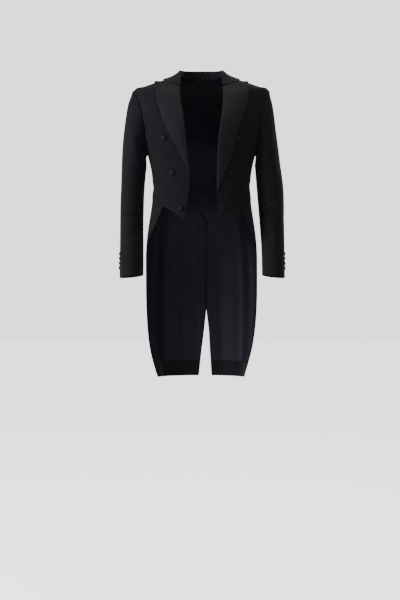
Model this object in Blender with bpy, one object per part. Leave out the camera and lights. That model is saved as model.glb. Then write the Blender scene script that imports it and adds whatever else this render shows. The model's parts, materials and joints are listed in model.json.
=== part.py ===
"""Evening tailcoat in its worn, hollow form, with nobody in it.

Metres, +Z up. The origin is at the base of the neck. The front of the coat faces -Y and the
wearer's right is at -X. Every panel is a patch of one body form, given by rings round the body,
and has the thickness of its cloth. Each sleeve is a tube set into the armhole.
"""

import math

import bpy
import numpy as np

# Cloth, in metres
WOOL = 0.0020
SILK = 0.0018
LINING = 0.0010
SEAM = 0.0004
HALF_SEAM = SEAM / 2

# Rings round the body. run goes up the side to the shoulder point, then in along the shoulder
RINGS = np.array([
    # run, z at front, z at side, z at back, half width, front depth, back depth, squareness
    (-1.008, -1.008, -1.008, -1.008, 0.162, 0.120, 0.150, 2.30),
    (-0.930, -0.930, -0.930, -0.930, 0.178, 0.122, 0.148, 2.30),
    (-0.850, -0.850, -0.850, -0.850, 0.185, 0.124, 0.145, 2.30),
    (-0.750, -0.750, -0.750, -0.750, 0.189, 0.126, 0.141, 2.30),
    (-0.650, -0.650, -0.650, -0.650, 0.189, 0.126, 0.136, 2.30),
    (-0.560, -0.560, -0.560, -0.560, 0.186, 0.124, 0.127, 2.30),
    (-0.507, -0.507, -0.507, -0.507, 0.1805, 0.121, 0.117, 2.30),
    (-0.439, -0.439, -0.439, -0.439, 0.170, 0.117, 0.102, 2.30),
    (-0.371, -0.371, -0.371, -0.371, 0.1643, 0.114, 0.096, 2.30),
    (-0.304, -0.304, -0.304, -0.304, 0.170, 0.119, 0.105, 2.30),
    (-0.255, -0.257, -0.255, -0.255, 0.1815, 0.127, 0.115, 2.30),
    (-0.200, -0.207, -0.200, -0.203, 0.198, 0.132, 0.123, 2.30),
    (-0.120, -0.145, -0.120, -0.135, 0.217, 0.125, 0.123, 2.30),
    (-0.060, -0.108, -0.060, -0.088, 0.225, 0.1105, 0.114, 2.33),
    (-0.0285, -0.084, -0.0315, -0.060, 0.2215, 0.099, 0.106, 2.40),
    (-0.010, -0.075, -0.0275, -0.049, 0.205, 0.0945, 0.102, 2.50),
    (0.030, -0.062, -0.0145, -0.030, 0.166, 0.0885, 0.094, 2.50),
    (0.080, -0.046, 0.0015, -0.009, 0.117, 0.079, 0.083, 2.40),
    (0.1275, -0.030, 0.0160, 0.012, 0.074, 0.068, 0.073, 2.30),
])
NECK = 0.1275
RIDGE = 4.0
SHOULDER = -0.0285
ARMPIT = -0.255
HEM = -1.008
SHOULDER_TURN = 94.0
WAIST_SEAM = -0.426

# Front edge and roll line, as seen from the front: z, x on the right front, x on the left front
FRONT_EDGE = np.array([
    (-0.503, 0.0660, 0.0719),
    (-0.484, 0.0608, 0.0640),
    (-0.465, 0.0543, 0.0592),
    (-0.416, 0.0442, 0.0527),
    (-0.351, 0.0380, 0.0507),
    (-0.285, 0.0412, 0.0514),
    (-0.220, 0.0494, 0.0550),
    (-0.155, 0.0563, 0.0632),
    (-0.090, 0.0668, 0.0697),
    (-0.052, 0.0704, 0.0700),
    (-0.010, 0.0718, 0.0710),
    (0.0130, 0.0722, 0.0722),
])
# Cutaway from the front point to the apex, where the tail starts: x, z
CUTAWAY = {
    -1: [(0.0608, -0.4839), (0.0796, -0.4647), (0.1020, -0.4476), (0.1284, -0.4336)],
    1: [(0.0719, -0.5029), (0.0865, -0.4810), (0.1073, -0.4640), (0.1356, -0.4480)],
}
# Edge of the tail, from the apex round to the hem: z, turn
TAIL_EDGE = np.array([
    (-1.008, 112.0), (-0.850, 103.0), (-0.700, 96.0), (-0.600, 89.0),
    (-0.560, 82.0), (-0.525, 72.5), (-0.480, 63.5), (-0.441, 57.6),
])
# Edge of the centre vent: z, x of the right tail, x of the left tail. The right one laps under
VENT = np.array([
    (-1.008, 0.0095, 0.0360), (-0.920, 0.0000, 0.0300), (-0.850, -0.0090, 0.0264),
    (-0.776, -0.0170, 0.0173), (-0.600, -0.0190, 0.0040), (-0.470, -0.0190, 0.0003),
    (-0.442, 0.0002, 0.0003), (-0.426, 0.0002, 0.0002),
])
# Rows of cloth below the waist seam, which the back and the tail share
LOWS = (-1.008, -0.940, -0.870, -0.800, -0.730, -0.660, -0.590, -0.520, -0.470, -0.442, -0.426)
# Seam of the back up to the waist and a little above it: z, x
BACK_SEAM = np.array([
    (-1.008, 0.062), (-0.800, 0.056), (-0.600, 0.050), (-0.426, 0.042), (-0.330, 0.050),
    (-0.260, 0.074),
])
# Where that seam passes on its way from there up to the armhole: turn, run
BACK_CURVE = [(149.5, -0.300), (136.0, -0.235)]
# Outer edge of the lapel from the front, from its lower end up to the tip of the peak: z, x
LAPEL_EDGE = {
    -1: [(-0.325, 0.0430), (-0.303, 0.0515), (-0.240, 0.0846), (-0.190, 0.1103), (-0.141, 0.1300),
         (-0.086, 0.1455), (-0.0235, 0.1525)],
    1: [(-0.386, 0.0548), (-0.354, 0.0640), (-0.308, 0.0830), (-0.246, 0.1037), (-0.187, 0.1195),
        (-0.137, 0.1380), (-0.070, 0.1560), (-0.0255, 0.1515)],
}
GORGE_IN = (0.0722, -0.034)
GORGE_OUT = (0.122, -0.0200)

# Sleeve below the armpit: z, inner x, outer x on the right, inner x, outer x on the left, middle y,
# half depth
SLEEVE = np.array([
    (-0.672, 0.1950, 0.2750, 0.2030, 0.2800, -0.022, 0.0480),
    (-0.580, 0.1950, 0.2750, 0.2020, 0.2796, -0.010, 0.0500),
    (-0.500, 0.1960, 0.2750, 0.1975, 0.2792, 0.000, 0.0540),
    (-0.430, 0.1950, 0.2745, 0.1920, 0.2790, 0.005, 0.0590),
    (-0.360, 0.1920, 0.2720, 0.1860, 0.2765, 0.004, 0.0610),
    (-0.290, 0.1850, 0.2695, 0.1800, 0.2670, 0.001, 0.0640),
])
BICEP = -0.290
CUFF = -0.659
CUFF_SLANT = 0.010
SLEEVE_GAP = 0.0007
CAP_SWELL = {-1: 0.090, 1: 0.050}
CAP_SLOPE = {-1: 0.004, 1: 0.034}
SLEEVE_TWIST = 62.0
AROUND = 24

FRONT_BUTTONS = {
    -1: [(0.1234, -0.2134), (0.0965, -0.3257), (0.0670, -0.4436)],
    1: [(0.1234, -0.2134), (0.0965, -0.3257), (0.0690, -0.4436)],
}
CUFF_BUTTON_Z = (-0.5830, -0.5985, -0.6145, -0.6305)
SIDES = {"right": -1, "left": 1}


def spline(table, at):
    """Smooth curve through the rows of a table, whose first column is where each row is."""
    table = np.asarray(table, float)
    knots = table[:, 0]
    values = table[:, 1:]
    gaps = np.diff(knots)
    count = len(knots)
    matrix = np.eye(count)
    wanted = np.zeros_like(values)
    for i in range(1, count - 1):
        matrix[i, i - 1:i + 2] = (gaps[i - 1], 2 * (gaps[i - 1] + gaps[i]), gaps[i])
        rise = (values[i + 1] - values[i]) / gaps[i]
        wanted[i] = 6 * (rise - (values[i] - values[i - 1]) / gaps[i - 1])
    bend = np.linalg.solve(matrix, wanted)
    at = np.clip(np.asarray(at, float), knots[0], knots[-1])
    i = np.clip(np.searchsorted(knots, at) - 1, 0, count - 2)
    width = gaps[i][..., None]
    low = (knots[i + 1] - at)[..., None] / width
    high = 1 - low
    curved = (low ** 3 - low) * bend[i] + (high ** 3 - high) * bend[i + 1]
    return low * values[i] + high * values[i + 1] + curved * width * width / 6


def smooth(x):
    x = np.clip(x, 0, 1)
    return x * x * (3 - 2 * x)


# The body form

def form(turn, run):
    """Point of the body form. turn is 0 at the front, 90 at the side and 180 at the back."""
    turn = np.asarray(turn, float)
    ring = spline(RINGS, run)
    angle = np.radians(turn)
    ahead = np.cos(angle) > 0
    depth = np.where(ahead, ring[..., 4], ring[..., 5])
    middle_z = np.where(ahead, ring[..., 0], ring[..., 2])
    sine = np.abs(np.sin(angle))
    cosine = np.abs(np.cos(angle))
    square = ring[..., 6]
    reach = ((sine / ring[..., 3]) ** square + (cosine / depth) ** square) ** (-1 / square)
    z = middle_z + (ring[..., 1] - middle_z) * sine ** RIDGE
    return np.stack([reach * np.sin(angle), -reach * np.cos(angle), z], -1)


def outward(turn, run):
    """Unit normal of the body form, out of the body."""
    run = np.clip(run, HEM + 0.001, NECK - 0.001)
    across = form(turn + 0.2, run) - form(turn - 0.2, run)
    up = form(turn, run + 0.0006) - form(turn, run - 0.0006)
    normal = np.cross(across, up)
    return normal / np.linalg.norm(normal, axis=-1, keepdims=True)


def lifted(turn, run, lift):
    """Point moved off the body form by lift."""
    return form(turn, run) + outward(turn, run) * np.asarray(lift)[..., None]


def turn_at(x, run, rear=False):
    """The turn where the ring at run has this x. A negative x is past the middle."""
    ring = spline(RINGS, np.array([run]))[0]
    depth = ring[5] if rear else ring[4]
    share = min(abs(x) / ring[3], 1.0)
    y = depth * (1 - share ** ring[6]) ** (1 / ring[6])
    turn = math.degrees(math.atan2(abs(x), y))
    if rear:
        return 180 - turn if x >= 0 else 180 + turn
    return turn if x >= 0 else -turn


def spot(x, z, rear=False):
    """(turn, run) of the point that shows at x and z from the front, or from the back."""
    low, high = HEM, NECK
    for _ in range(40):
        middle = (low + high) / 2
        if form(turn_at(x, middle, rear), middle)[2] < z:
            low = middle
        else:
            high = middle
    return turn_at(x, low, rear), low


def resample(points, count):
    """count steps of equal length along a line of (turn, run) points."""
    points = np.asarray(points, float)
    steps = np.linalg.norm(np.diff(points * (0.0026, 1.0), axis=0), axis=1)
    far = np.concatenate([[0], np.cumsum(steps)])
    at = np.linspace(0, far[-1], count + 1)
    return np.stack([np.interp(at, far, points[:, k]) for k in (0, 1)], -1)


def join(*lines):
    """Lines end to end, each starting on the last one's end."""
    return np.concatenate([lines[0]] + [line[1:] for line in lines[1:]])


def patch(left, right, low, high):
    """Grid of (turn, run) inside four edges: left and right go up, low and high go across."""
    u = np.linspace(0, 1, len(low))[:, None, None]
    v = np.linspace(0, 1, len(left))[None, :, None]
    sides = (1 - u) * left[None] + u * right[None]
    ends = (1 - v) * low[:, None] + v * high[:, None]
    corners = (1 - u) * (1 - v) * low[0] + u * (1 - v) * low[-1]
    corners = corners + (1 - u) * v * high[0] + u * v * high[-1]
    return sides + ends - corners


# Lines that panels share

def armhole(angle):
    """(turn, run) on the armhole. angle is 0 at the top, 90 at the front, 180 at the bottom."""
    angle = np.radians(angle)
    sine = np.sin(angle)
    turn = SHOULDER_TURN - 1.5 * (1 - np.cos(angle)) - np.where(sine > 0, 20.5, 19.5) * sine
    run = (SHOULDER + ARMPIT) / 2 + (SHOULDER - ARMPIT) / 2 * np.cos(angle)
    return np.stack([turn, run], -1)


def armhole_steps(first, last):
    """The armhole from one angle to another, in the steps that the sleeve has too."""
    return armhole(np.linspace(first, last, abs(last - first) * AROUND // 360 + 1))


def apex(side):
    return spot(*CUTAWAY[side][-1])


SIDE_LOW = (78.0, WAIST_SEAM)
SIDE_TOP = 150
BACK_TOP = 255


def side_seam():
    return resample([SIDE_LOW, armhole(SIDE_TOP)], 5)


def back_edge(z):
    return spot(float(spline(BACK_SEAM, np.array([z]))[0, 0]), z, True)


def back_seam():
    """From the waist up to the armhole, in one smooth curve."""
    line = [back_edge(WAIST_SEAM), back_edge(WAIST_SEAM + 0.066), *BACK_CURVE, armhole(BACK_TOP)]
    table = np.column_stack([np.arange(len(line)), np.array(line)])
    return resample(spline(table, np.linspace(0, len(line) - 1, 60)), 8)


def shoulder_seam():
    return resample([(SHOULDER_TURN, SHOULDER), (SHOULDER_TURN, NECK)], 4)


def front_x(z, side):
    return float(np.interp(z, FRONT_EDGE[:, 0], FRONT_EDGE[:, 1 if side < 0 else 2]))


def front_edge(first, last, count, side):
    return np.array([spot(front_x(z, side), z) for z in np.linspace(first, last, count + 1)])


def vent_x(z, side):
    return float(np.interp(z, VENT[:, 0], VENT[:, 1 if side < 0 else 2]))


# Solids

def keep(name, points, faces, material):
    """Makes the named object from triangles, with its faces out of the solid."""
    corners = points[np.array(faces)] - points.mean(0)
    if np.linalg.det(corners).sum() < 0:
        faces = [face[::-1] for face in faces]
    mesh = bpy.data.meshes.new(name)
    mesh.from_pydata([tuple(p) for p in points], [], faces)
    mesh.materials.append(material)
    mesh.shade_smooth()
    made = bpy.data.objects.new(name, mesh)
    coat.objects.link(made)
    made.parent = root
    return made


def halves(a, b, c, d):
    """A quad as two triangles, always cut from a to c, so that layers of cloth stay parallel."""
    return [(a, b, c), (a, c, d)]


def sheet(name, outer, inner, material):
    """One piece of cloth from the grids of its two faces."""
    across, up = outer.shape[:2]
    points = np.concatenate([outer.reshape(-1, 3), inner.reshape(-1, 3)])
    under = across * up

    def at(i, j):
        return i * up + j

    faces = []
    for i in range(across - 1):
        for j in range(up - 1):
            for face in halves(at(i, j), at(i + 1, j), at(i + 1, j + 1), at(i, j + 1)):
                faces.append(face)
                faces.append(tuple(under + k for k in face[::-1]))
    rim = [at(i, 0) for i in range(across)]
    rim += [at(across - 1, j) for j in range(1, up)]
    rim += [at(i, up - 1) for i in range(across - 2, -1, -1)]
    rim += [at(0, j) for j in range(up - 2, 0, -1)]
    for k, first in enumerate(rim):
        second = rim[(k + 1) % len(rim)]
        faces += halves(second, first, under + first, under + second)
    return keep(name, points, faces, material)


def on_body(name, side, grid, lift, thick, material):
    """A piece of cloth on the body form: its outer face is at lift and its inner one below."""
    turn, run = grid[..., 0], grid[..., 1]
    lift = np.broadcast_to(lift, turn.shape)
    flip = np.array([side, 1, 1])
    outer = lifted(turn, run, lift) * flip
    inner = lifted(turn, run, lift - thick) * flip
    return sheet(name, outer, inner, material)


def button(name, centre, axis, radius, height, material):
    """A covered button: a flat back and a domed front."""
    axis = np.array(axis) / np.linalg.norm(axis)
    one = np.cross(axis, (0, 0, 1.0))
    one /= np.linalg.norm(one)
    two = np.cross(axis, one)
    profile = [(0.0, 0.0), (0.9, 0.0), (1.0, 0.35), (0.62, 0.86), (0.0, 1.0)]
    count = 12
    points = [np.array(centre, float)]
    for share, tall in profile[1:-1]:
        for k in range(count):
            angle = 2 * math.pi * k / count
            ray = one * math.cos(angle) + two * math.sin(angle)
            points.append(centre + ray * radius * share + axis * height * tall)
    points.append(centre + axis * height)
    last = len(points) - 1
    faces = []
    for k in range(count):
        follow = (k + 1) % count
        faces.append((0, 1 + follow, 1 + k))
        for ring in range(2):
            base = 1 + ring * count
            above = base + count
            faces += halves(base + k, base + follow, above + follow, above + k)
        faces.append((last, last - count + k, last - count + follow))
    return keep(name, np.array(points), faces, material)


# Panels

def front_grid(side):
    cut = [spot(x, z) for x, z in CUTAWAY[side]]
    low = join(resample(cut, 6), resample([apex(side), SIDE_LOW], 3))
    bottom = CUTAWAY[side][0][1]
    left = join(
        front_edge(bottom, -0.265, 5, side),
        front_edge(-0.265, -0.034, 10, side),
        front_edge(-0.034, 0.0130, 4, side),
    )
    right = join(side_seam(), armhole_steps(SIDE_TOP, 0), shoulder_seam())
    left[-1, 1] = NECK
    high = resample([left[-1], right[-1]], 9)
    grid = patch(left, right, low, high)
    grid[-1, :, 0] -= 0.07
    return grid


def side_grid():
    low = resample([SIDE_LOW, back_seam()[0]], 7)
    left = join(resample(side_seam(), 8))
    grid = patch(left, back_seam(), low, armhole_steps(SIDE_TOP, BACK_TOP))
    grid[0, :, 0] += 0.10
    grid[-1, :, 0] -= 0.10
    return grid


def back_grid(side):
    tail_in = np.array([spot(vent_x(z, side), z, True) for z in LOWS])
    tail_out = np.array([back_edge(z) for z in LOWS])
    spine = resample([(180.0, WAIST_SEAM), (180.0, NECK)], 8 + 7 + 4)
    left = join(tail_out, back_seam(), armhole_steps(BACK_TOP, 360), shoulder_seam())
    right = join(tail_in, spine)
    right[len(LOWS) - 1:, 0] -= 0.08
    low = resample([left[0], right[0]], 5)
    grid = patch(left, right, low, resample([left[-1], right[-1]], 5))
    grid[0, :, 0] += 0.10
    return grid


def under_lap(grid, side):
    """How far the right tail's edge goes in, to pass under the left one."""
    points = form(grid[..., 0], grid[..., 1])
    if side > 0:
        return np.zeros(points.shape[:2])
    below = smooth((-0.428 - points[..., 2]) / 0.012)
    return -0.0034 * below * smooth((0.016 - points[..., 0]) / 0.014)


def tail_grid(side):
    inner = np.array([back_edge(z) for z in LOWS])
    table = TAIL_EDGE.copy()
    table[-1] = (apex(side)[1], apex(side)[0])
    zs = HEM + (np.array(LOWS) - HEM) * (apex(side)[1] - HEM) / (WAIST_SEAM - HEM)
    outer = np.array([(float(np.interp(z, table[:, 0], table[:, 1])), z) for z in zs])
    high = join(
        resample([apex(side), SIDE_LOW], 3), resample([SIDE_LOW, back_seam()[0]], 7)
    )
    low = resample([outer[0], inner[0]], 10)
    grid = patch(outer, inner, low, high)
    grid[:, -1, 1] -= 0.0005
    grid[-1, :, 0] -= 0.10
    return grid


def trim(grid, left, right, low, high):
    """The same patch with its outermost lines moved in by shares of a step."""
    grid = grid.copy()
    grid[0] += (grid[1] - grid[0]) * left
    grid[-1] += (grid[-2] - grid[-1]) * right
    grid[:, 0] += (grid[:, 1] - grid[:, 0]) * low
    grid[:, -1] += (grid[:, -2] - grid[:, -1]) * high
    return grid


def lapel_grid(side):
    """From the roll line out, and from the lapel's lower end up to the gorge and the peak."""
    end, peak = LAPEL_EDGE[side][0][0], LAPEL_EDGE[side][-1][0]
    zs = np.linspace(end, GORGE_IN[1], 15)
    roll = np.array([spot(front_x(z, side) + 0.0003, z) for z in zs])
    outer_z = np.linspace(end, peak, 15)
    outer_x = spline(LAPEL_EDGE[side], outer_z)[:, 0]
    outer = np.array([spot(x, z) for x, z in zip(outer_x, outer_z)])
    low = resample([roll[0], outer[0]], 6)
    gorge = [spot(*GORGE_IN), spot(*GORGE_OUT), tuple(outer[-1])]
    high = resample(np.array(gorge), 6)
    roll[-1] = high[0]
    outer[-1] = high[-1]
    grid = patch(roll, outer, low, high)
    grid[:, -1, 1] -= 0.0010
    return grid


def lapel_lift(grid):
    """Off the front by a hair at the roll line, more outside it, most at the tip of the peak."""
    across, up = grid.shape[:2]
    u = np.linspace(0, 1, across)[:, None]
    v = np.linspace(0, 1, up)[None]
    lift = 0.0011 + SILK + 0.0020 * smooth(u / 0.35) + 0 * v
    lift = lift + 0.0012 * smooth(u / 0.3) * smooth((v - 0.6) / 0.25)
    return lift + 0.0010 * smooth((u - 0.6) / 0.4) * smooth((v - 0.86) / 0.14)


# Sleeves

def sleeve_point(angle, along, side):
    """Point of a sleeve. along is 0 at the armhole, 1 at the bicep and 2 at the cuff."""
    angle = np.asarray(angle, float)
    along = np.asarray(along, float)
    a = np.radians(angle)
    top = np.cos(a / 2) ** 2
    edge = armhole(np.mod(angle, 360))
    start = form(edge[..., 0], edge[..., 1]) + np.array([SLEEVE_GAP, 0, 0])
    inner, outer = (1, 2) if side < 0 else (3, 4)
    turned = np.radians(angle + SLEEVE_TWIST * np.clip(along - 1, 0, 1))
    fall = CUFF - CUFF_SLANT * (1 + np.cos(turned - math.radians(330))) / 2
    z = BICEP + (fall - BICEP) * np.clip(along - 1, 0, 1)
    row = spline(SLEEVE, z)
    half = (row[..., outer - 1] - row[..., inner - 1]) / 2
    centre = (row[..., outer - 1] + row[..., inner - 1]) / 2
    tube = np.stack([
        centre + half * np.cos(turned),
        row[..., 4] - row[..., 5] * np.sin(turned),
        z,
    ], -1)
    out = np.stack([
        CAP_SWELL[side] * (0.30 + 0.70 * top), -0.035 * np.sin(a), -0.06 * top
    ], -1)
    down = np.stack([CAP_SLOPE[side] * top, 0 * a, -0.05 - 0.25 * top], -1)
    t = np.clip(along, 0, 1)[..., None]
    cap = start * (2 * t ** 3 - 3 * t ** 2 + 1) + out * (t ** 3 - 2 * t ** 2 + t)
    cap = cap + tube * (3 * t ** 2 - 2 * t ** 3) + down * (t ** 3 - t ** 2)
    return np.where((along > 1)[..., None], tube, cap)


def sleeve_grid(first, last, side, trim):
    """The two faces of a length of sleeve between two seams, as grids."""
    angles = np.linspace(first + trim, last - trim, (last - first) * AROUND // 360 + 1)
    rows = np.concatenate([np.linspace(0, 1, 7), np.linspace(1, 2, 9)[1:]])
    angle, along = np.meshgrid(angles, rows, indexing="ij")
    outer = sleeve_point(angle, along, side)
    round_it = sleeve_point(angle + 1, along, side) - sleeve_point(angle - 1, along, side)
    low = np.clip(along - 0.02, 0, 2)
    down_it = sleeve_point(angle, np.clip(along + 0.02, 0, 2), side)
    down_it = down_it - sleeve_point(angle, low, side)
    normal = np.cross(round_it, down_it)
    normal /= np.linalg.norm(normal, axis=-1, keepdims=True)
    flip = np.array([side, 1, 1])
    return outer * flip, (outer - normal * WOOL) * flip


# Collar

def collar_grid():
    """Middle of the collar's cloth: across its fold, then from one gorge round to the other."""
    gorge = [spot(front_x(z, -1), z) for z in np.linspace(GORGE_IN[1] + 0.001, 0.012, 5)]
    neck = [(t, NECK) for t in np.linspace(86, 180, 8)]
    path = np.array(gorge + neck)
    corner = spot(GORGE_OUT[0], GORGE_OUT[1] + 0.0015)
    outer = resample([corner, (88.0, 0.0750)], 4)
    outer = np.concatenate([outer, resample([(90.0, 0.0752), (180.0, 0.0865)], 7)])
    rise = np.array([0.002, 0.003, 0.005, 0.0075, 0.0105] + list(np.linspace(0.0125, 0.028, 8)))
    rows = []
    for (turn, run), (turn_out, run_out), tall in zip(path, outer, rise):
        facing_out = math.radians(max(turn, 90.0))
        level = np.array([math.sin(facing_out), -math.cos(facing_out), 0])
        foot = form(turn, run) - level * 0.00175
        foot[2] += 0.0010
        top = foot + level * 0.0016 + np.array([0, 0, tall + 0.0014])
        line = [foot, foot * 0.45 + (top - level * 0.0022) * 0.55, top - level * 0.0020, top]
        above = top - lifted(turn, run, 0.0036)
        for share in (0.10, 0.35, 0.68, 1.0):
            at = (turn + (turn_out - turn) * share, run + (run_out - run) * share)
            line.append(lifted(*at, 0.0036) + above * (1 - share) ** 3.2)
        rows.append(line)
    half = np.array(rows)
    other = half[::-1][1:] * (-1, 1, 1)
    return np.concatenate([half, other])


def thicken(grid, thick):
    """Both faces of a cloth whose middle is the grid."""
    along = np.gradient(grid, axis=0)
    across = np.gradient(grid, axis=1)
    normal = np.cross(along, across)
    normal /= np.linalg.norm(normal, axis=-1, keepdims=True)
    return grid + normal * thick / 2, grid - normal * thick / 2


def material(name, colour, roughness):
    made = bpy.data.materials.new(name)
    made.use_nodes = True
    shader = made.node_tree.nodes["Principled BSDF"]
    shader.inputs["Base Color"].default_value = (*colour, 1)
    shader.inputs["Roughness"].default_value = roughness
    shader.inputs["Metallic"].default_value = 0
    made.diffuse_color = (*colour, 1)
    return made


for old in list(bpy.data.objects):
    bpy.data.objects.remove(old)

coat = bpy.data.collections.new("evening_tailcoat")
bpy.context.scene.collection.children.link(coat)
root = bpy.data.objects.new("coat_root", None)
coat.objects.link(root)

wool = material("wool", (0.012, 0.012, 0.014), 0.85)
facing = material("silk_facing", (0.018, 0.018, 0.021), 0.45)
lining = material("lining", (0.010, 0.010, 0.015), 0.40)
horn = material("button_cloth", (0.020, 0.020, 0.023), 0.55)

for word, side in SIDES.items():
    front = front_grid(side)
    on_body(f"front_{word}", side, front, 0.0, WOOL, wool)
    under_arm = side_grid()
    on_body(f"side_body_{word}", side, under_arm, 0.0, WOOL, wool)
    back = back_grid(side)
    on_body(f"back_{word}", side, back, under_lap(back, side), WOOL, wool)
    skirt = tail_grid(side)
    on_body(f"tail_{word}", side, skirt, 0.0, WOOL, wool)

    # Linings lie inside the cloth, on its own lines, clear of it by more than a curve's sag
    reach = trim(under_arm, 0.05, 0.0, 0.1, 0.3)
    on_body(f"side_lining_{word}", side, reach, -WOOL - 0.0014, LINING, lining)
    reach = trim(back[:, len(LOWS) - 1:], 0.05, 0.0, 0.1, 0.3)
    on_body(f"back_lining_{word}", side, reach, -WOOL - 0.0018, LINING, lining)
    reach = trim(skirt[:, 1:], 0.2, 0.0, -0.32, 0.2)
    on_body(f"tail_lining_{word}", side, reach, -WOOL - 0.0008, LINING, lining)

    lapel = lapel_grid(side)
    on_body(f"lapel_{word}", side, lapel, lapel_lift(lapel), SILK, facing)

    for piece, first, last in (("top", -90, 120), ("under", 120, 270)):
        outer, inner = sleeve_grid(first, last, side, 0.30)
        sheet(f"{piece}_sleeve_{word}", outer, inner, wool)

    for number, (x, z) in enumerate(FRONT_BUTTONS[side], 1):
        turn, run = spot(x, z)
        axis = outward(turn, run) * (side, 1, 1)
        seat = form(turn, run) * (side, 1, 1) + axis * 0.0006
        button(f"front_button_{word}_{number}", seat, axis, 0.0095, 0.0060, horn)

    for number, z in enumerate(CUFF_BUTTON_Z, 1):
        along = 1 + (z - BICEP) / (CUFF - 0.5 * CUFF_SLANT - BICEP)
        angle = 345 - 360 - SLEEVE_TWIST * (along - 1)
        here = sleeve_point(angle, along, side)
        beside = sleeve_point(angle + 1, along, side) - sleeve_point(angle - 1, along, side)
        under = sleeve_point(angle, along + 0.01, side) - sleeve_point(angle, along - 0.01, side)
        axis = np.cross(beside, under)
        axis = axis / np.linalg.norm(axis) * (side, 1, 1)
        button(
            f"cuff_button_{word}_{number}", here * (side, 1, 1) + axis * 0.0005, axis, 0.0072,
            0.0048, horn,
        )

    turn, run = spot(0.0500, -0.4400, True)
    axis = outward(turn, run) * (side, 1, 1)
    seat = form(turn, run) * (side, 1, 1) + axis * 0.0009
    button(f"waist_button_{word}", seat, axis, 0.0095, 0.0060, horn)

collar = collar_grid()
top_face, under_face = thicken(collar, WOOL)
sheet("collar", top_face, under_face, wool)

corners = [(0.076, -0.2545), (0.144, -0.2525), (0.146, -0.2295), (0.078, -0.2315)]
low_in, low_out, high_out, high_in = (np.array(spot(x, z)) for x, z in corners)
welt = patch(
    resample([low_in, high_in], 1), resample([low_out, high_out], 1),
    resample([low_in, low_out], 6), resample([high_in, high_out], 6),
)
on_body("breast_welt", 1, welt, 0.0003 + 0.0014, 0.0014, wool)

for thing in coat.objects:
    if thing.type == "MESH":
        print(thing.name, len(thing.data.polygons))
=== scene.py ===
# %% [markdown]
# # An evening tailcoat
#
# This lesson dresses a black evening tailcoat: two cut-away fronts with wide peaked lapels, a
# close body, two-piece sleeves and two tails behind. Nobody is in it, yet it keeps the hollow form
# that it has when it is worn. Every piece of cloth is a thin shell, cut as a maker would cut it.
#
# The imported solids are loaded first. They say where each piece is, and each shell made here stands
# for one of them.

import json
import math

import bpy
import numpy as np
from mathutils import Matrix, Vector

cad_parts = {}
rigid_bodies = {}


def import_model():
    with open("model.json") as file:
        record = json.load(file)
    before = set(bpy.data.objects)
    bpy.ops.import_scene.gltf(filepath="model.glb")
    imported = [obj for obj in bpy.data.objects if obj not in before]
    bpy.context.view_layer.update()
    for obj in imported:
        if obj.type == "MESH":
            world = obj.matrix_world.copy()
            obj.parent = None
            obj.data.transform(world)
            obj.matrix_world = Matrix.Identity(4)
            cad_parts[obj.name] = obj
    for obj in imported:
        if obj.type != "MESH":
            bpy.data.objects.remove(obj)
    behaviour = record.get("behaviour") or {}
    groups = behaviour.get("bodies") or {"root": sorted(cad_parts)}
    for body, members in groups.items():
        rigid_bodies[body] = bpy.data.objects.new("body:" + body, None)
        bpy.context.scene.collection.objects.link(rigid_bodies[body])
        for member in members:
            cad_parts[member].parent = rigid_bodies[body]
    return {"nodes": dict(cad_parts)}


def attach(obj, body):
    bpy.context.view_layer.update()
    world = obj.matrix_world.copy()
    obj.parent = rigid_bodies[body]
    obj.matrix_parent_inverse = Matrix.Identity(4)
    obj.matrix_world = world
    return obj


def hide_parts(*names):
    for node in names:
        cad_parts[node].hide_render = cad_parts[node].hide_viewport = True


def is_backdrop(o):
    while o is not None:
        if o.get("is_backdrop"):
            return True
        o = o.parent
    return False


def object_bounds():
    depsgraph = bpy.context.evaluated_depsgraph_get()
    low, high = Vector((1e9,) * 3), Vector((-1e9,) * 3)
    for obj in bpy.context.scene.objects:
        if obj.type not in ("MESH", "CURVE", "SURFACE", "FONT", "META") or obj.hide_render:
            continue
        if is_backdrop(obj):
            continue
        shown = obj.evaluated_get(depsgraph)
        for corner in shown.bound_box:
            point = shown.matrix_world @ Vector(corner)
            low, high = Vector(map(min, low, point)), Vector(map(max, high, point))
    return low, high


for old in list(bpy.data.objects):
    bpy.data.objects.remove(old)
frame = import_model()
cad_box = [list(corner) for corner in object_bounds()]
print("solids:", len(frame["nodes"]), "box:", np.round(cad_box, 3).tolist())

# %% [markdown]
# ## The camera
#
# The picture was taken from straight ahead, level with the tails, from some way off, so that the
# coat is seen with little perspective. The coat's neck is at the origin and its front faces -Y.

# %% The camera
camera = bpy.data.objects.new("camera", bpy.data.cameras.new("camera"))
camera.data.sensor_width = 36
camera.data.lens = 62.16
camera.location = (-0.0051, -3.5, -0.743)
camera.rotation_euler = (math.radians(90), 0, 0)
bpy.context.scene.collection.objects.link(camera)
bpy.context.scene.camera = camera
print("camera at", tuple(round(x, 3) for x in camera.location))

# %% [markdown]
# ## The body form
#
# A tailor fits cloth to a form. Here the form is a table of rings round the body, joined by smooth
# curves. A point on it has two numbers: `turn`, which is 0 at the front, 90 at the side and 180 at
# the back, and `run`, which goes up the side to the shoulder point and then in along the shoulder
# to the neck. A panel is then a patch of turns and runs, and its thickness, lining and folds are
# lifts off the form. Sculpting would give one lump, and a simulation would lose the sharp cut.

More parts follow.
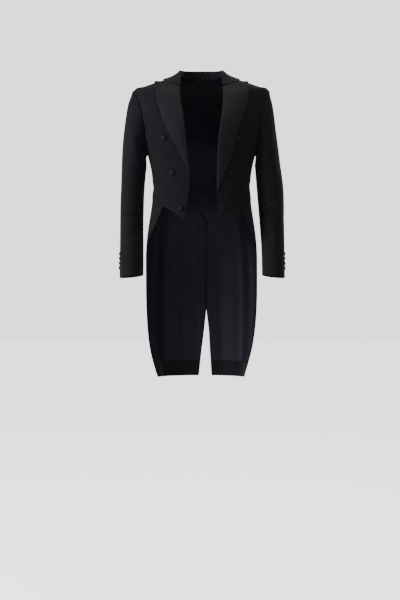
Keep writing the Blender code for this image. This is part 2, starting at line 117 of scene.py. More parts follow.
# %% A smooth curve through a table
class Curve:
    """Smooth curve through the rows of a table, whose first column is where each row is."""

    def __init__(self, table):
        table = np.asarray(table, float)
        self.knots = table[:, 0]
        self.values = table[:, 1:]
        gaps = np.diff(self.knots)
        matrix = np.eye(len(self.knots))
        wanted = np.zeros_like(self.values)
        for i in range(1, len(self.knots) - 1):
            matrix[i, i - 1:i + 2] = (gaps[i - 1], 2 * (gaps[i - 1] + gaps[i]), gaps[i])
            rise = (self.values[i + 1] - self.values[i]) / gaps[i]
            wanted[i] = 6 * (rise - (self.values[i] - self.values[i - 1]) / gaps[i - 1])
        self.bend = np.linalg.solve(matrix, wanted)

    def __call__(self, at):
        at = np.clip(np.asarray(at, float), self.knots[0], self.knots[-1])
        i = np.clip(np.searchsorted(self.knots, at) - 1, 0, len(self.knots) - 2)
        width = (self.knots[i + 1] - self.knots[i])[..., None]
        low = (self.knots[i + 1] - at)[..., None] / width
        high = 1 - low
        curved = (low ** 3 - low) * self.bend[i] + (high ** 3 - high) * self.bend[i + 1]
        return low * self.values[i] + high * self.values[i + 1] + curved * width * width / 6


def smooth(x):
    """0 up to 0, 1 from 1 on, and a soft step between them."""
    x = np.clip(x, 0, 1)
    return x * x * (3 - 2 * x)


print("smooth at a quarter:", smooth(0.25))


# %% Rings round the body
RINGS = Curve([
    # run, z at front, z at side, z at back, half width, front depth, back depth, squareness
    (-1.008, -1.008, -1.008, -1.008, 0.162, 0.120, 0.150, 2.30),
    (-0.930, -0.930, -0.930, -0.930, 0.178, 0.122, 0.148, 2.30),
    (-0.850, -0.850, -0.850, -0.850, 0.185, 0.124, 0.145, 2.30),
    (-0.750, -0.750, -0.750, -0.750, 0.189, 0.126, 0.141, 2.30),
    (-0.650, -0.650, -0.650, -0.650, 0.189, 0.126, 0.136, 2.30),
    (-0.560, -0.560, -0.560, -0.560, 0.186, 0.124, 0.127, 2.30),
    (-0.507, -0.507, -0.507, -0.507, 0.1805, 0.121, 0.117, 2.30),
    (-0.439, -0.439, -0.439, -0.439, 0.170, 0.117, 0.102, 2.30),
    (-0.371, -0.371, -0.371, -0.371, 0.1643, 0.114, 0.096, 2.30),
    (-0.304, -0.304, -0.304, -0.304, 0.170, 0.119, 0.105, 2.30),
    (-0.255, -0.257, -0.255, -0.255, 0.1815, 0.127, 0.115, 2.30),
    (-0.200, -0.207, -0.200, -0.203, 0.198, 0.132, 0.123, 2.30),
    (-0.120, -0.145, -0.120, -0.135, 0.217, 0.125, 0.123, 2.30),
    (-0.060, -0.108, -0.060, -0.088, 0.225, 0.1105, 0.114, 2.33),
    (-0.0285, -0.084, -0.0315, -0.060, 0.2215, 0.099, 0.106, 2.40),
    (-0.010, -0.075, -0.0275, -0.049, 0.205, 0.0945, 0.102, 2.50),
    (0.030, -0.062, -0.0145, -0.030, 0.166, 0.0885, 0.094, 2.50),
    (0.080, -0.046, 0.0015, -0.009, 0.117, 0.079, 0.083, 2.40),
    (0.1275, -0.030, 0.0160, 0.012, 0.074, 0.068, 0.073, 2.30),
])
# The runs that the cut starts from
NECK = 0.1275
SHOULDER = -0.0285
ARMPIT = -0.255
WAIST_SEAM = -0.426
HEM = -1.008
# Power of the sine with which a ring leaves its middle height for its side height
RIDGE = 4.0
SIDES = {"right": -1, "left": 1}
print("rings:", len(RINGS.knots), "from", HEM, "to", NECK)


# %% A point of the form
# Small steps of turn and run with which slopes are measured, and halvings with which a point is
# searched for
NUDGE = (0.2, 0.0006)
HALVINGS = 30


def form(turn, run):
    """Point of the body form. turn is 0 at the front, 90 at the side and 180 at the back."""
    ring = RINGS(run)
    angle = np.radians(np.asarray(turn, float))
    ahead = np.cos(angle) > 0
    depth = np.where(ahead, ring[..., 4], ring[..., 5])
    middle_z = np.where(ahead, ring[..., 0], ring[..., 2])
    sine = np.abs(np.sin(angle))
    cosine = np.abs(np.cos(angle))
    square = ring[..., 6]
    reach = ((sine / ring[..., 3]) ** square + (cosine / depth) ** square) ** (-1 / square)
    z = middle_z + (ring[..., 1] - middle_z) * sine ** RIDGE
    return np.stack([reach * np.sin(angle), -reach * np.cos(angle), z], -1)


def outward(turn, run):
    """Unit normal of the body form, out of the body."""
    run = np.clip(run, HEM + 0.001, NECK - 0.001)
    across = form(turn + NUDGE[0], run) - form(turn - NUDGE[0], run)
    up = form(turn, run + NUDGE[1]) - form(turn, run - NUDGE[1])
    normal = np.cross(across, up)
    return normal / np.linalg.norm(normal, axis=-1, keepdims=True)


def turn_at(x, run, rear=False):
    """The turn where the ring at run has this x. A negative x is past the middle."""
    ring = RINGS(run)
    share = np.minimum(np.abs(x) / ring[..., 3], 1.0)
    y = ring[..., 5 if rear else 4] * (1 - share ** ring[..., 6]) ** (1 / ring[..., 6])
    turn = np.sign(x) * np.degrees(np.arctan2(np.abs(x), y))
    return 180 - turn if rear else turn


def spot(x, z, rear=False):
    """(turn, run) of the points that show at x and z from the front, or from the back."""
    x, z = np.broadcast_arrays(np.asarray(x, float), np.asarray(z, float))
    low = np.full(x.shape, HEM)
    high = np.full(x.shape, NECK)
    for _ in range(HALVINGS):
        middle = (low + high) / 2
        under = form(turn_at(x, middle, rear), middle)[..., 2] < z
        low = np.where(under, middle, low)
        high = np.where(under, high, middle)
    return np.stack([turn_at(x, low, rear), low], -1)


print("chest at", form(30.0, -0.2).round(3), "neck at", form(180.0, NECK).round(3))

# %% [markdown]
# ## The cut
#
# The seams and edges of a tailcoat are lines on the form: the front edge and roll line, the
# cutaway at the waist, the side seam, the curved seam of the back, the armhole, the shoulder seam,
# and the edges of the tails. Each is a small table or a rule. A patch fills the space inside four
# of them, and two panels that share a line meet on it exactly, as sewn cloth does.

# %% Tables of the cut
# Steps in one division of a seam, and round the whole armhole
FINE = 5
AROUND = 24 * FINE
# Steps of the seams that two panels share: below the waist, from there to the armhole, and on the
# shoulder
TAIL_STEPS = 10 * FINE
BACK_STEPS = 8 * FINE
SHOULDER_STEPS = 4 * FINE
# One degree of turn on the cloth, in metres, near enough for folds and distances
DEGREE = 0.0028
# Front edge and roll line, as seen from the front: z, x on the right front, x on the left front
FRONT_EDGE = Curve([
    (-0.503, 0.0660, 0.0719), (-0.484, 0.0608, 0.0640), (-0.465, 0.0543, 0.0592),
    (-0.416, 0.0442, 0.0527), (-0.351, 0.0380, 0.0507), (-0.285, 0.0412, 0.0514),
    (-0.220, 0.0494, 0.0550), (-0.155, 0.0563, 0.0632), (-0.090, 0.0668, 0.0697),
    (-0.052, 0.0704, 0.0700), (-0.010, 0.0718, 0.0710), (0.0130, 0.0722, 0.0722),
])
# Heights between which the rows on the front edge are spaced evenly, from the front point up
EDGE_HEIGHTS = (-0.265, -0.034, 0.0130)
# Cutaway from the front point to the apex, where the tail starts: x, z
CUTAWAY = {
    -1: [(0.0608, -0.4839), (0.0796, -0.4647), (0.1020, -0.4476), (0.1284, -0.4336)],
    1: [(0.0719, -0.5029), (0.0865, -0.4810), (0.1073, -0.4640), (0.1356, -0.4480)],
}
# Edge of the tail, from the hem up to the apex: z, turn
TAIL_EDGE = [
    (-1.008, 112.0), (-0.850, 103.0), (-0.700, 96.0), (-0.600, 89.0),
    (-0.560, 82.0), (-0.525, 72.5), (-0.480, 63.5),
]
# Edge of the centre vent: z, x of the right tail, x of the left tail. The right one laps under
VENT = np.array([
    (-1.008, 0.0095, 0.0360), (-0.920, 0.0000, 0.0300), (-0.850, -0.0090, 0.0264),
    (-0.776, -0.0170, 0.0173), (-0.600, -0.0190, 0.0040), (-0.470, -0.0190, 0.0003),
    (-0.442, 0.0002, 0.0003), (-0.426, 0.0002, 0.0002),
])
# Rows of cloth below the waist seam, which the back and the tail share
ROWS = (-1.008, -0.940, -0.870, -0.800, -0.730, -0.660, -0.590, -0.520, -0.470, -0.442, -0.426)
LOWS = np.interp(np.arange(TAIL_STEPS + 1) / FINE, np.arange(len(ROWS)), ROWS)
# Foot of the side seam, as (turn, run), and its head, as an angle on the armhole
SIDE_LOW = (78.0, WAIST_SEAM)
SIDE_TOP = 150
# Seam of the back up to the waist and a little above it: z, x
BACK_SEAM = Curve([
    (-1.008, 0.062), (-0.800, 0.056), (-0.600, 0.050), (-0.426, 0.042), (-0.330, 0.050),
    (-0.260, 0.074),
])
# How far above the waist it leaves that table, where it passes then, as (turn, run), and its head
BACK_STRAIGHT = 0.066
BACK_CURVE = [(149.5, -0.300), (136.0, -0.235)]
BACK_TOP = 255
# Turn of the shoulder seam, how far the armhole's middle lies in front of it, and the armhole's
# reach from there to the front and to the back, all in degrees
SHOULDER_TURN = 94.0
ARMHOLE_LEAN = 1.5
ARMHOLE_REACH = (20.5, 19.5)
ARMHOLE_MIDDLE = (SHOULDER_TURN - ARMHOLE_LEAN, (SHOULDER + ARMPIT) / 2)
# Outer edge of the lapel from the front, from its lower end up to the tip of the peak: z, x
LAPEL_EDGE = {
    -1: [(-0.325, 0.0430), (-0.303, 0.0515), (-0.240, 0.0846), (-0.190, 0.1103), (-0.141, 0.1300),
         (-0.086, 0.1460), (-0.0175, 0.1555)],
    1: [(-0.386, 0.0548), (-0.354, 0.0640), (-0.308, 0.0830), (-0.246, 0.1037), (-0.187, 0.1195),
        (-0.137, 0.1380), (-0.070, 0.1560), (-0.0195, 0.1530)],
}
LAPEL_END = {side: edge[0][0] for side, edge in LAPEL_EDGE.items()}
# Both ends of the gorge, the seam between lapel and collar: x, z
GORGE_IN = (0.0722, -0.034)
GORGE_OUT = (0.122, -0.0200)
print("lapels end at z", LAPEL_END)


# %% Lines and patches
# What a degree of turn and a metre of run count for where points are spaced along a line
STEP = (0.0026, 1.0)


def far_along(points):
    """Distance of each (turn, run) point of a line from its first one."""
    steps = np.linalg.norm(np.diff(points * np.array(STEP), axis=0), axis=1)
    return np.concatenate([[0], np.cumsum(steps)])


def resample(points, count):
    """count steps of equal length along a line of (turn, run) points."""
    points = np.asarray(points, float)
    far = far_along(points)
    at = np.linspace(0, far[-1], count + 1)
    return np.stack([np.interp(at, far, points[:, k]) for k in (0, 1)], -1)


def bow(points, count):
    """The same along a smooth curve through the points."""
    points = np.asarray(points, float)
    far = far_along(points)
    curve = Curve(np.column_stack([far, points]))
    return resample(curve(np.linspace(0, far[-1], 20 * len(points))), count)


def join(*lines):
    """Lines end to end, each starting on the last one's end."""
    return np.concatenate([lines[0]] + [line[1:] for line in lines[1:]])


def patch(left, right, low, high):
    """Grid of (turn, run) inside four edges: left and right go up, low and high go across."""
    u = np.linspace(0, 1, len(low))[:, None, None]
    v = np.linspace(0, 1, len(left))[None, :, None]
    sides = (1 - u) * left[None] + u * right[None]
    ends = (1 - v) * low[:, None] + v * high[:, None]
    corners = (1 - u) * (1 - v) * low[0] + u * (1 - v) * low[-1]
    corners = corners + (1 - u) * v * high[0] + u * v * high[-1]
    return sides + ends - corners


print("a line in three steps:", resample([(0, 0), (90, 0.3)], 3).round(3).tolist())


# %% Seams and edges
def armhole(angle):
    """(turn, run) on the armhole. angle is 0 at the top, 90 at the front, 180 at the bottom."""
    angle = np.radians(angle)
    sine = np.sin(angle)
    reach = np.where(sine > 0, *ARMHOLE_REACH)
    turn = SHOULDER_TURN - ARMHOLE_LEAN * (1 - np.cos(angle)) - reach * sine
    run = ARMHOLE_MIDDLE[1] + (SHOULDER - ARMPIT) / 2 * np.cos(angle)
    return np.stack([turn, run], -1)


def beside_armhole(angle, out):
    """(turn, run) at out metres from the armhole, away from its middle."""
    edge = armhole(angle)
    way = (edge - ARMHOLE_MIDDLE) * (DEGREE, 1)
    way /= np.linalg.norm(way, axis=-1, keepdims=True)
    return edge + way * np.asarray(out)[..., None] / (DEGREE, 1)


def armhole_steps(first, last):
    """The armhole from one angle to another, in the steps that the sleeve has too."""
    return armhole(np.linspace(first, last, abs(last - first) * AROUND // 360 + 1))


def apex(side):
    """(turn, run) where the cutaway ends and the tail starts."""
    return spot(*CUTAWAY[side][-1])


def side_seam():
    """From the waist up to the armhole."""
    return resample([SIDE_LOW, armhole(SIDE_TOP)], 5 * FINE)


def back_edge(z):
    """(turn, run) on the seam between back and tail, or back and side body, at heights z."""
    return spot(BACK_SEAM(z)[..., 0], z, True)


def back_seam():
    """From the waist up to the armhole, in one smooth curve."""
    feet = [back_edge(WAIST_SEAM), back_edge(WAIST_SEAM + BACK_STRAIGHT)]
    return bow([*feet, *BACK_CURVE, armhole(BACK_TOP)], BACK_STEPS)


def shoulder_seam():
    """From the armhole in to the neck."""
    return resample([(SHOULDER_TURN, SHOULDER), (SHOULDER_TURN, NECK)], SHOULDER_STEPS)


def front_x(z, side):
    """x of the front edge or the roll line, taken as positive on both sides."""
    return FRONT_EDGE(z)[..., 0 if side < 0 else 1]


def front_edge(first, last, count, side):
    """The front edge between two heights, in even steps of height."""
    z = np.linspace(first, last, count + 1)
    return spot(front_x(z, side), z)


ring = form(*armhole(np.linspace(0, 360, 90)).T)
print("armhole, m round:", np.linalg.norm(np.diff(ring, axis=0), axis=1).sum().round(3))


# %% Patches of the panels
def front_grid(side):
    cut = spot(*np.array(CUTAWAY[side]).T)
    low = join(bow(cut, 6 * FINE), resample([apex(side), SIDE_LOW], 3 * FINE))
    chest, gorge, neck = EDGE_HEIGHTS
    left = join(
        front_edge(CUTAWAY[side][0][1], chest, 5 * FINE, side),
        front_edge(chest, gorge, 10 * FINE, side),
        front_edge(gorge, neck, SHOULDER_STEPS, side),
    )
    right = join(side_seam(), armhole_steps(SIDE_TOP, 0), shoulder_seam())
    left[-1, 1] = NECK
    return patch(left, right, low, resample([left[-1], right[-1]], 9 * FINE))


def side_grid():
    low = resample([SIDE_LOW, back_seam()[0]], 7 * FINE)
    left = resample(side_seam(), BACK_STEPS)
    return patch(left, back_seam(), low, armhole_steps(SIDE_TOP, BACK_TOP))


def back_grid(side):
    vent = np.interp(LOWS, VENT[:, 0], VENT[:, 1 if side < 0 else 2])
    tail_in = spot(vent, LOWS, True)
    tail_in[-1] = (180.0, WAIST_SEAM)
    left = join(back_edge(LOWS), back_seam(), armhole_steps(BACK_TOP, 360), shoulder_seam())
    spine = resample([(180.0, WAIST_SEAM), (180.0, NECK)], len(left) - len(LOWS))
    right = join(tail_in, spine)
    low = resample([left[0], right[0]], 6 * FINE)
    return patch(left, right, low, resample([left[-1], right[-1]], 6 * FINE))


def tail_grid(side):
    top = apex(side)
    edge = Curve(TAIL_EDGE + [(top[1], top[0])])
    z = HEM + (LOWS - HEM) * (top[1] - HEM) / (WAIST_SEAM - HEM)
    outer = np.stack([edge(z)[..., 0], z], -1)
    high = join(resample([top, SIDE_LOW], 3 * FINE), resample([SIDE_LOW, back_seam()[0]], 7 * FINE))
    low = resample([outer[0], back_edge(HEM)], 10 * FINE)
    return patch(outer, back_edge(LOWS), low, high)


for word, side in SIDES.items():
    print(word, "front", front_grid(side).shape[:2], "tail", tail_grid(side).shape[:2])

# %% [markdown]
# ## Folds
#
# Worn wool hangs in broad soft folds: drag lines at the armhole, a little slack cloth at the
# waist, drape beside the back of the armhole, and flutes in the tails that deepen to the hem. They
# are given as short strokes across the form. All layers read the same strokes, so that a
# lining or a lapel follows the cloth under it. The two sides differ, as they do on a real coat.

# %% Folds of the body
# turn and run at one end, turn and run at the other, half width, height
BODY_FOLDS = {
    -1: np.array([
        (77, -0.215, 60, -0.285, 0.014, -0.0025),
        (74, -0.165, 57, -0.205, 0.013, -0.0016),
        (70, -0.245, 50, -0.330, 0.016, 0.0015),
        (66, -0.352, 98, -0.372, 0.011, -0.0018),
        (72, -0.388, 108, -0.398, 0.010, 0.0013),
        (116, -0.392, 152, -0.376, 0.012, -0.0019),
        (125, -0.105, 119, -0.300, 0.015, 0.0037),
        (133, -0.130, 129, -0.290, 0.013, -0.0028),
        (106, -0.520, 103, -1.250, 0.019, 0.0044),
        (117, -0.460, 118, -1.250, 0.017, -0.0047),
        (132, -0.500, 130, -1.250, 0.020, 0.0052),
        (146, -0.480, 148, -1.200, 0.016, -0.0044),
    ]),
    1: np.array([
        (76, -0.200, 58, -0.260, 0.013, -0.0021),
        (75, -0.240, 54, -0.320, 0.015, -0.0018),
        (64, -0.190, 48, -0.240, 0.016, 0.0014),
        (68, -0.360, 104, -0.356, 0.011, -0.0016),
        (70, -0.398, 100, -0.402, 0.010, 0.0014),
        (112, -0.380, 146, -0.396, 0.012, -0.0021),
        (127, -0.095, 122, -0.280, 0.015, 0.0032),
        (135, -0.110, 132, -0.300, 0.014, -0.0030),
        (103, -0.540, 101, -1.250, 0.018, 0.0036),
        (113, -0.480, 112, -1.250, 0.018, -0.0052),
        (126, -0.470, 127, -1.250, 0.018, 0.0047),
        (141, -0.510, 139, -1.250, 0.018, -0.0039),
        (154, -0.560, 153, -1.250, 0.015, 0.0029),
    ]),
}


# Degrees each side of the middle of the back over which folds fade in
SPINE_CALM = 12


def strokes(angle, y, table, degree):
    """Sum of soft strokes on a flat chart in metres, on which one degree has the length given."""
    x = angle * degree
    total = np.zeros(np.shape(x))
    for x1, y1, x2, y2, width, height in table * (degree, 1, degree, 1, 1, 1):
        line = np.array([x2 - x1, y2 - y1])
        share = ((x - x1) * line[0] + (y - y1) * line[1]) / (line @ line)
        near = np.clip(share, 0, 1)
        gap = np.hypot(x - x1 - near * line[0], y - y1 - near * line[1])
        fade = 0.35 + 0.65 * np.sqrt(np.clip(4 * near * (1 - near), 0, 1))
        total = total + height * fade * np.exp(-(gap / width) ** 2)
    return total


def folds(turn, run, side):
    """Height of the folds at a point of the form. It fades out at the middle of the back."""
    total = strokes(turn, run, BODY_FOLDS[side], DEGREE)
    return total * smooth(np.abs(180 - turn) / SPINE_CALM)


def lifted(turn, run, lift, side):
    """Point moved off the form by lift and by the folds, on the wearer's right or left."""
    height = np.asarray(lift + folds(turn, run, side))[..., None]
    return (form(turn, run) + outward(turn, run) * height) * np.array([side, 1, 1])


for word, side in SIDES.items():
    chart = folds(*front_grid(side).T, side)
    print(word, "front folds, mm:", round(chart.min() * 1000, 1), round(chart.max() * 1000, 1))

# %% [markdown]
# ## A shell of cloth
#
# One maker serves every piece. It takes the grids of the two faces, closes them with a rounded
# rim, and turns the faces in a little beside every edge, where a seam allowance or a hem pulls the
# cloth under. It also stores a UV map in metres, so that a weave keeps its size on any piece, and
# an `edge` attribute, the distance to the nearest edge, where cloth is pressed and wears first and
# where the finishes paint shade.

# %% Grids of cloth
def lengths(grid, axis):
    """Distance along the lines of a grid from their first points."""
    steps = np.linalg.norm(np.diff(grid, axis=axis), axis=-1)
    zero = np.zeros_like(np.take(steps, [0], axis))
    return np.concatenate([zero, np.cumsum(steps, axis)], axis)


# Where the lines beside an edge lie, as shares of the first step in from it
EDGE_SHARES = (0, 0.10, 0.38)


def edge_lines(grid):
    """Two more lines just inside each edge of a grid, where the cloth turns under."""
    for axis in (0, 1):
        grid = np.moveaxis(grid, axis, 0)
        first = [grid[:1] + (grid[1:2] - grid[:1]) * share for share in EDGE_SHARES]
        last = [grid[-1:] + (grid[-2:-1] - grid[-1:]) * share for share in EDGE_SHARES[::-1]]
        grid = np.concatenate(first + [grid[1:-1]] + last)
        grid = np.moveaxis(grid, 0, axis)
    return grid


# Half the gap of a seam, in metres
SEAM = 0.0002


def inset(grid, left=SEAM, right=SEAM, low=SEAM, high=SEAM):
    """The same patch with its edges moved in by lengths in metres."""
    solid = form(grid[..., 0], grid[..., 1])
    for axis, first, last in ((0, left, right), (1, low, high)):
        size = np.median(np.take(lengths(solid, axis), -1, axis))
        grid = np.moveaxis(grid, axis, 0)
        count = len(grid) - 1
        at = np.linspace(count * first / size, count * (1 - last / size), count + 1)
        i = np.clip(at.astype(int), 0, count - 1)
        share = (at - i)[:, None, None]
        grid = np.moveaxis(grid[i] * (1 - share) + grid[i + 1] * share, 0, axis)
    return grid


def near_edge(grid):
    """Distance of each point of a grid from the nearest of its edges."""
    gaps = []
    for axis in (0, 1):
        far = lengths(grid, axis)
        gaps += [far, np.take(far, [-1], axis) - far]
    return np.min(gaps, axis=0)


def rim_of(across, up):
    """Numbers of the points round the edge of a grid, in order."""
    rim = [i * up for i in range(across)]
    rim += [(across - 1) * up + j for j in range(1, up)]
    rim += [i * up + up - 1 for i in range(across - 2, -1, -1)]
    return np.array(rim + list(range(up - 2, 0, -1)))


print("half the gap of a seam, mm:", SEAM * 1000)


# %% A mesh
coat = bpy.data.collections.new("evening_tailcoat")
bpy.context.scene.collection.children.link(coat)


def build(name, points, faces, finish, uv=None, edge=None):
    """A mesh object at the origin, with its faces out of the solid."""
    loops = np.concatenate([np.ravel(f) for f in faces])
    sizes = np.concatenate([np.full(len(f), np.shape(f)[1]) for f in faces])
    mesh = bpy.data.meshes.new(name)
    mesh.vertices.add(len(points))
    mesh.vertices.foreach_set("co", np.asarray(points, np.float32).ravel())
    mesh.loops.add(len(loops))
    mesh.loops.foreach_set("vertex_index", loops.astype(np.int32))
    mesh.polygons.add(len(sizes))
    starts = np.concatenate([[0], np.cumsum(sizes)[:-1]])
    mesh.polygons.foreach_set("loop_start", starts.astype(np.int32))
    mesh.update(calc_edges=True)
    mesh.validate()
    inside = points - points.mean(0)
    volume = sum(np.linalg.det(inside[np.asarray(f)[:, [0, 1, 2]]]).sum() for f in faces)
    if volume < 0:
        mesh.flip_normals()
    mesh.shade_smooth()
    mesh.materials.append(finish)
    if uv is not None:
        layer = mesh.uv_layers.new(name="UVMap")
        order = np.zeros(len(mesh.loops), np.int32)
        mesh.loops.foreach_get("vertex_index", order)
        layer.data.foreach_set("uv", np.asarray(uv, np.float32)[order].ravel())
    if edge is not None:
        layer = mesh.attributes.new("edge", "FLOAT", "POINT")
        layer.data.foreach_set("value", np.asarray(edge, np.float32).ravel())
    made = bpy.data.objects.new(name, mesh)
    coat.objects.link(made)
    return made


print("pieces go to:", coat.name)


# %% A shell
# Thickness of each cloth, in metres
WOOL = 0.0020
SILK = 0.0018
LINING = 0.0010
# How far from an edge the faces turn in, and the inner face's share of it
TURN_WIDTH = 0.0016
TURN_INSIDE = 0.6


def flat_size(middle):
    """Width, length and area of a grid laid flat. The width is enough for the area."""
    cells = np.cross(middle[1:, :-1] - middle[:-1, :-1], middle[:-1, 1:] - middle[:-1, :-1])
    area = float(np.linalg.norm(cells, axis=-1).sum())
    tall = lengths(middle, 1)[:, -1]
    length = float(tall.min() + tall.max()) / 2
    return max(0.85 * float(lengths(middle, 0)[-1].max()), 1.02 * area / length), length, area


def shell(name, outer, inner, finish, dip=0.0006, bulge=0.0004):
    """One piece of cloth from the grids of its two faces.

    At an edge the outer face turns in by dip, and the rim stands out by bulge.
    """
    across, up = outer.shape[:2]
    middle = (outer + inner) / 2
    gap = near_edge(middle)
    thick = outer - inner
    turned = np.exp(-(gap / TURN_WIDTH) ** 2)[..., None] * dip / np.linalg.norm(thick[1, 1])
    outer = outer - thick * turned
    inner = inner + thick * turned * TURN_INSIDE
    rim = rim_of(across, up)
    toward = np.zeros_like(middle)
    for axis in (0, 1):
        line = np.moveaxis(toward, axis, 0)
        points = np.moveaxis(middle, axis, 0)
        line[0] += points[0] - points[1]
        line[-1] += points[-1] - points[-2]
    toward = toward.reshape(-1, 3)[rim]
    toward /= np.linalg.norm(toward, axis=1, keepdims=True) + 1e-12
    edge_points = middle.reshape(-1, 3)[rim] + toward * bulge
    points = np.concatenate([outer.reshape(-1, 3), inner.reshape(-1, 3), edge_points])
    count = across * up
    i, j = np.meshgrid(np.arange(across - 1), np.arange(up - 1), indexing="ij")
    a = (i * up + j).ravel()
    quads = np.stack([a, a + up, a + up + 1, a + 1], -1)
    rim_line = 2 * count + np.arange(len(rim))
    after, rim_after = np.roll(rim, -1), np.roll(rim_line, -1)
    faces = [
        quads, count + quads[:, ::-1],
        np.stack([after, rim, rim_line, rim_after], -1),
        np.stack([rim_after, rim_line, count + rim, count + after], -1),
    ]
    far = lengths(middle, 0)
    u = far - far[-1:] / 2
    v = np.broadcast_to(lengths(middle, 1).mean(0), u.shape)
    uv = np.stack([u, v], -1).reshape(-1, 2)
    uv = np.concatenate([uv, uv, uv[rim]])
    gap = gap.ravel()
    gap = np.concatenate([gap, gap, gap[rim]])
    flat_size(middle)
    return build(name, points, [np.concatenate(faces)], finish, uv, gap)


def on_body(name, side, grid, lift, thick, finish, **shape):
    """A piece of cloth on the form: its outer face is at lift and its inner one below."""
    turn, run = grid[..., 0], grid[..., 1]
    outer = lifted(turn, run, lift, side)
    return shell(name, outer, lifted(turn, run, lift - thick, side), finish, **shape)


print("cloth, metres thick:", WOOL, SILK, LINING)

# %% [markdown]
# ## Finishes
#
# Black cloth is never one flat black. Worsted wool is a fine matt twill with a little blue or
# brown in it, silk facings are smoother and catch the light, the lining is a blue-black satin, and
# pressed edges shine slightly. Each finish is a small tree of nodes. A class wraps a socket, so
# that the maths of a weave reads like maths. All patterns follow the UV map, in metres.

# %% Nodes
def add_node(tree, kind, settings=None, sockets=None):
    """One node of any kind: its settings are set first, then its sockets get values or links."""
    made = tree.nodes.new(kind)
    for key, value in (settings or {}).items():
        setattr(made, key, value)
    for key, value in (sockets or {}).items():
        if isinstance(value, bpy.types.NodeSocket):
            tree.links.new(value, made.inputs[key])
        else:
            made.inputs[key].default_value = value
    return made


# %% Shader maths
class Term:
    """A socket of a shader tree that can be used in sums."""

    def __init__(self, finish, socket):
        self.finish = finish
        self.socket = socket

    def math(self, operation, first, second=0.0):
        return self.finish.node("ShaderNodeMath", {"operation": operation}, {0: first, 1: second})

    def __add__(self, other):
        return self.math("ADD", self, other)

    def __mul__(self, other):
        return self.math("MULTIPLY", self, other)

    def __sub__(self, other):
        return self.math("SUBTRACT", self, other)

    def __rsub__(self, other):
        return self.math("SUBTRACT", other, self)

    __radd__ = __add__
    __rmul__ = __mul__

    def wave(self):
        """0 to 1 and back, once for each whole number."""
        return self.math("SINE", self * (2 * math.pi)) * 0.5 + 0.5

    def between(self, low, high):
        """0 below low and 1 above high, smooth between them."""
        sockets = {"Value": self, "From Min": low, "From Max": high}
        return self.finish.node(
            "ShaderNodeMapRange", {"interpolation_type": "SMOOTHSTEP", "clamp": True}, sockets)


# %% A finish
class Finish:
    """A material and its tree of nodes."""

    def __init__(self, name, **constants):
        self.material = bpy.data.materials.new(name)
        self.material.use_nodes = True
        self.tree = self.material.node_tree
        self.shader = self.tree.nodes["Principled BSDF"]
        for key, value in constants.items():
            self.shader.inputs[key.replace("_", " ")].default_value = value
        self.uv = self.node("ShaderNodeTexCoord", out="UV")

    def node(self, kind, settings=None, sockets=None, out=0):
        """The output named or numbered out of a new node."""
        given = sockets or {}
        given = {k: v.socket if isinstance(v, Term) else v for k, v in given.items()}
        return Term(self, add_node(self.tree, kind, settings, given).outputs[out])

    def axes(self, scale):
        """The two UV axes, in counts of scale metres."""
        split = self.node("ShaderNodeSeparateXYZ", None, {0: self.uv})
        other = Term(self, split.socket.node.outputs[1])
        return split * (1 / scale), other * (1 / scale)

    def noise(self, size, detail=3.0, stretch=(1, 1, 1)):
        """Soft noise whose blots are about size metres."""
        scale = tuple(s / size for s in stretch)
        at = self.node("ShaderNodeMapping", None, {"Vector": self.uv, "Scale": scale})
        return self.node(
            "ShaderNodeTexNoise", {"noise_dimensions": "3D"},
            {"Vector": at, "Scale": 1.0, "Detail": detail, "Roughness": 0.55})

    def near_edge(self, width):
        """1 on an edge of the cloth, falling to 0 at width."""
        edge = self.node("ShaderNodeAttribute", {"attribute_name": "edge"}, out="Fac")
        return 1 - edge.between(0.0, width)

    def blend(self, share, first, second):
        """A mix of two colours, the first of which can be a mix already."""
        if not isinstance(first, Term):
            first = (*first, 1)
        return self.node(
            "ShaderNodeMix", {"data_type": "RGBA"}, {0: share, 6: first, 7: (*second, 1)}, out=2)

    def use(self, colour, roughness, bumps):
        """Joins the results to the shader. bumps: (height, distance), the coarse one first."""
        self.tree.links.new(colour.socket, self.shader.inputs["Base Color"])
        self.tree.links.new(roughness.socket, self.shader.inputs["Roughness"])
        normal = None
        for height, distance in bumps:
            sockets = {"Height": height, "Distance": distance, "Strength": 1.0}
            if normal is not None:
                sockets["Normal"] = normal
            normal = self.node("ShaderNodeBump", None, sockets)
        self.tree.links.new(normal.socket, self.shader.inputs["Normal"])
        return self.material


# %% Wool
# Distance between the lines of the twill, in metres
TWILL = 0.0009


def wool_finish(name, dark, light):
    """Fine worsted: a close twill, warp slubs, cloudy tone, pressed edges and painted edge shade."""
    cloth = Finish(name, Specular_IOR_Level=0.12, Sheen_Weight=0.05, Sheen_Roughness=0.45)
    u, v = cloth.axes(TWILL)
    rib = (u + v * 1.6).wave()
    pick = (u * 2.0 - v * 0.4).wave()
    weave = rib * 0.7 + pick * 0.3
    cloud = cloth.noise(0.060, 2.0)
    slub = cloth.noise(0.0030, 2.0, (1.0, 0.07, 1))
    fuzz = cloth.noise(0.0007, 2.0)
    pressed = cloth.near_edge(0.007)
    tone = weave * 0.35 + cloud * 0.45 + slub * 0.45 + fuzz * 0.25 - 0.25
    colour = cloth.blend(tone.between(0.05, 0.95), dark, light)
    # Painted shade: within 1.8 mm of every edge and seam the colour darkens towards half the dark
    # tone, as if a groove there lay in shadow.
    colour = cloth.blend(cloth.near_edge(0.0018) * 0.45, colour, [c * 0.5 for c in dark])
    rough = 0.86 - pressed * 0.08 - cloud * 0.08 + fuzz * 0.06
    bumps = [(cloth.noise(0.026, 2.0), 0.0011), (slub * 0.5 + weave * 0.5, 0.00016)]
    return cloth.use(colour, rough, bumps)


WOOL_FINISH = wool_finish("black_worsted", (0.0055, 0.0047, 0.0068), (0.0120, 0.0101, 0.0145))
print("wool twill, lines to the centimetre:", round(0.01 / TWILL, 1))


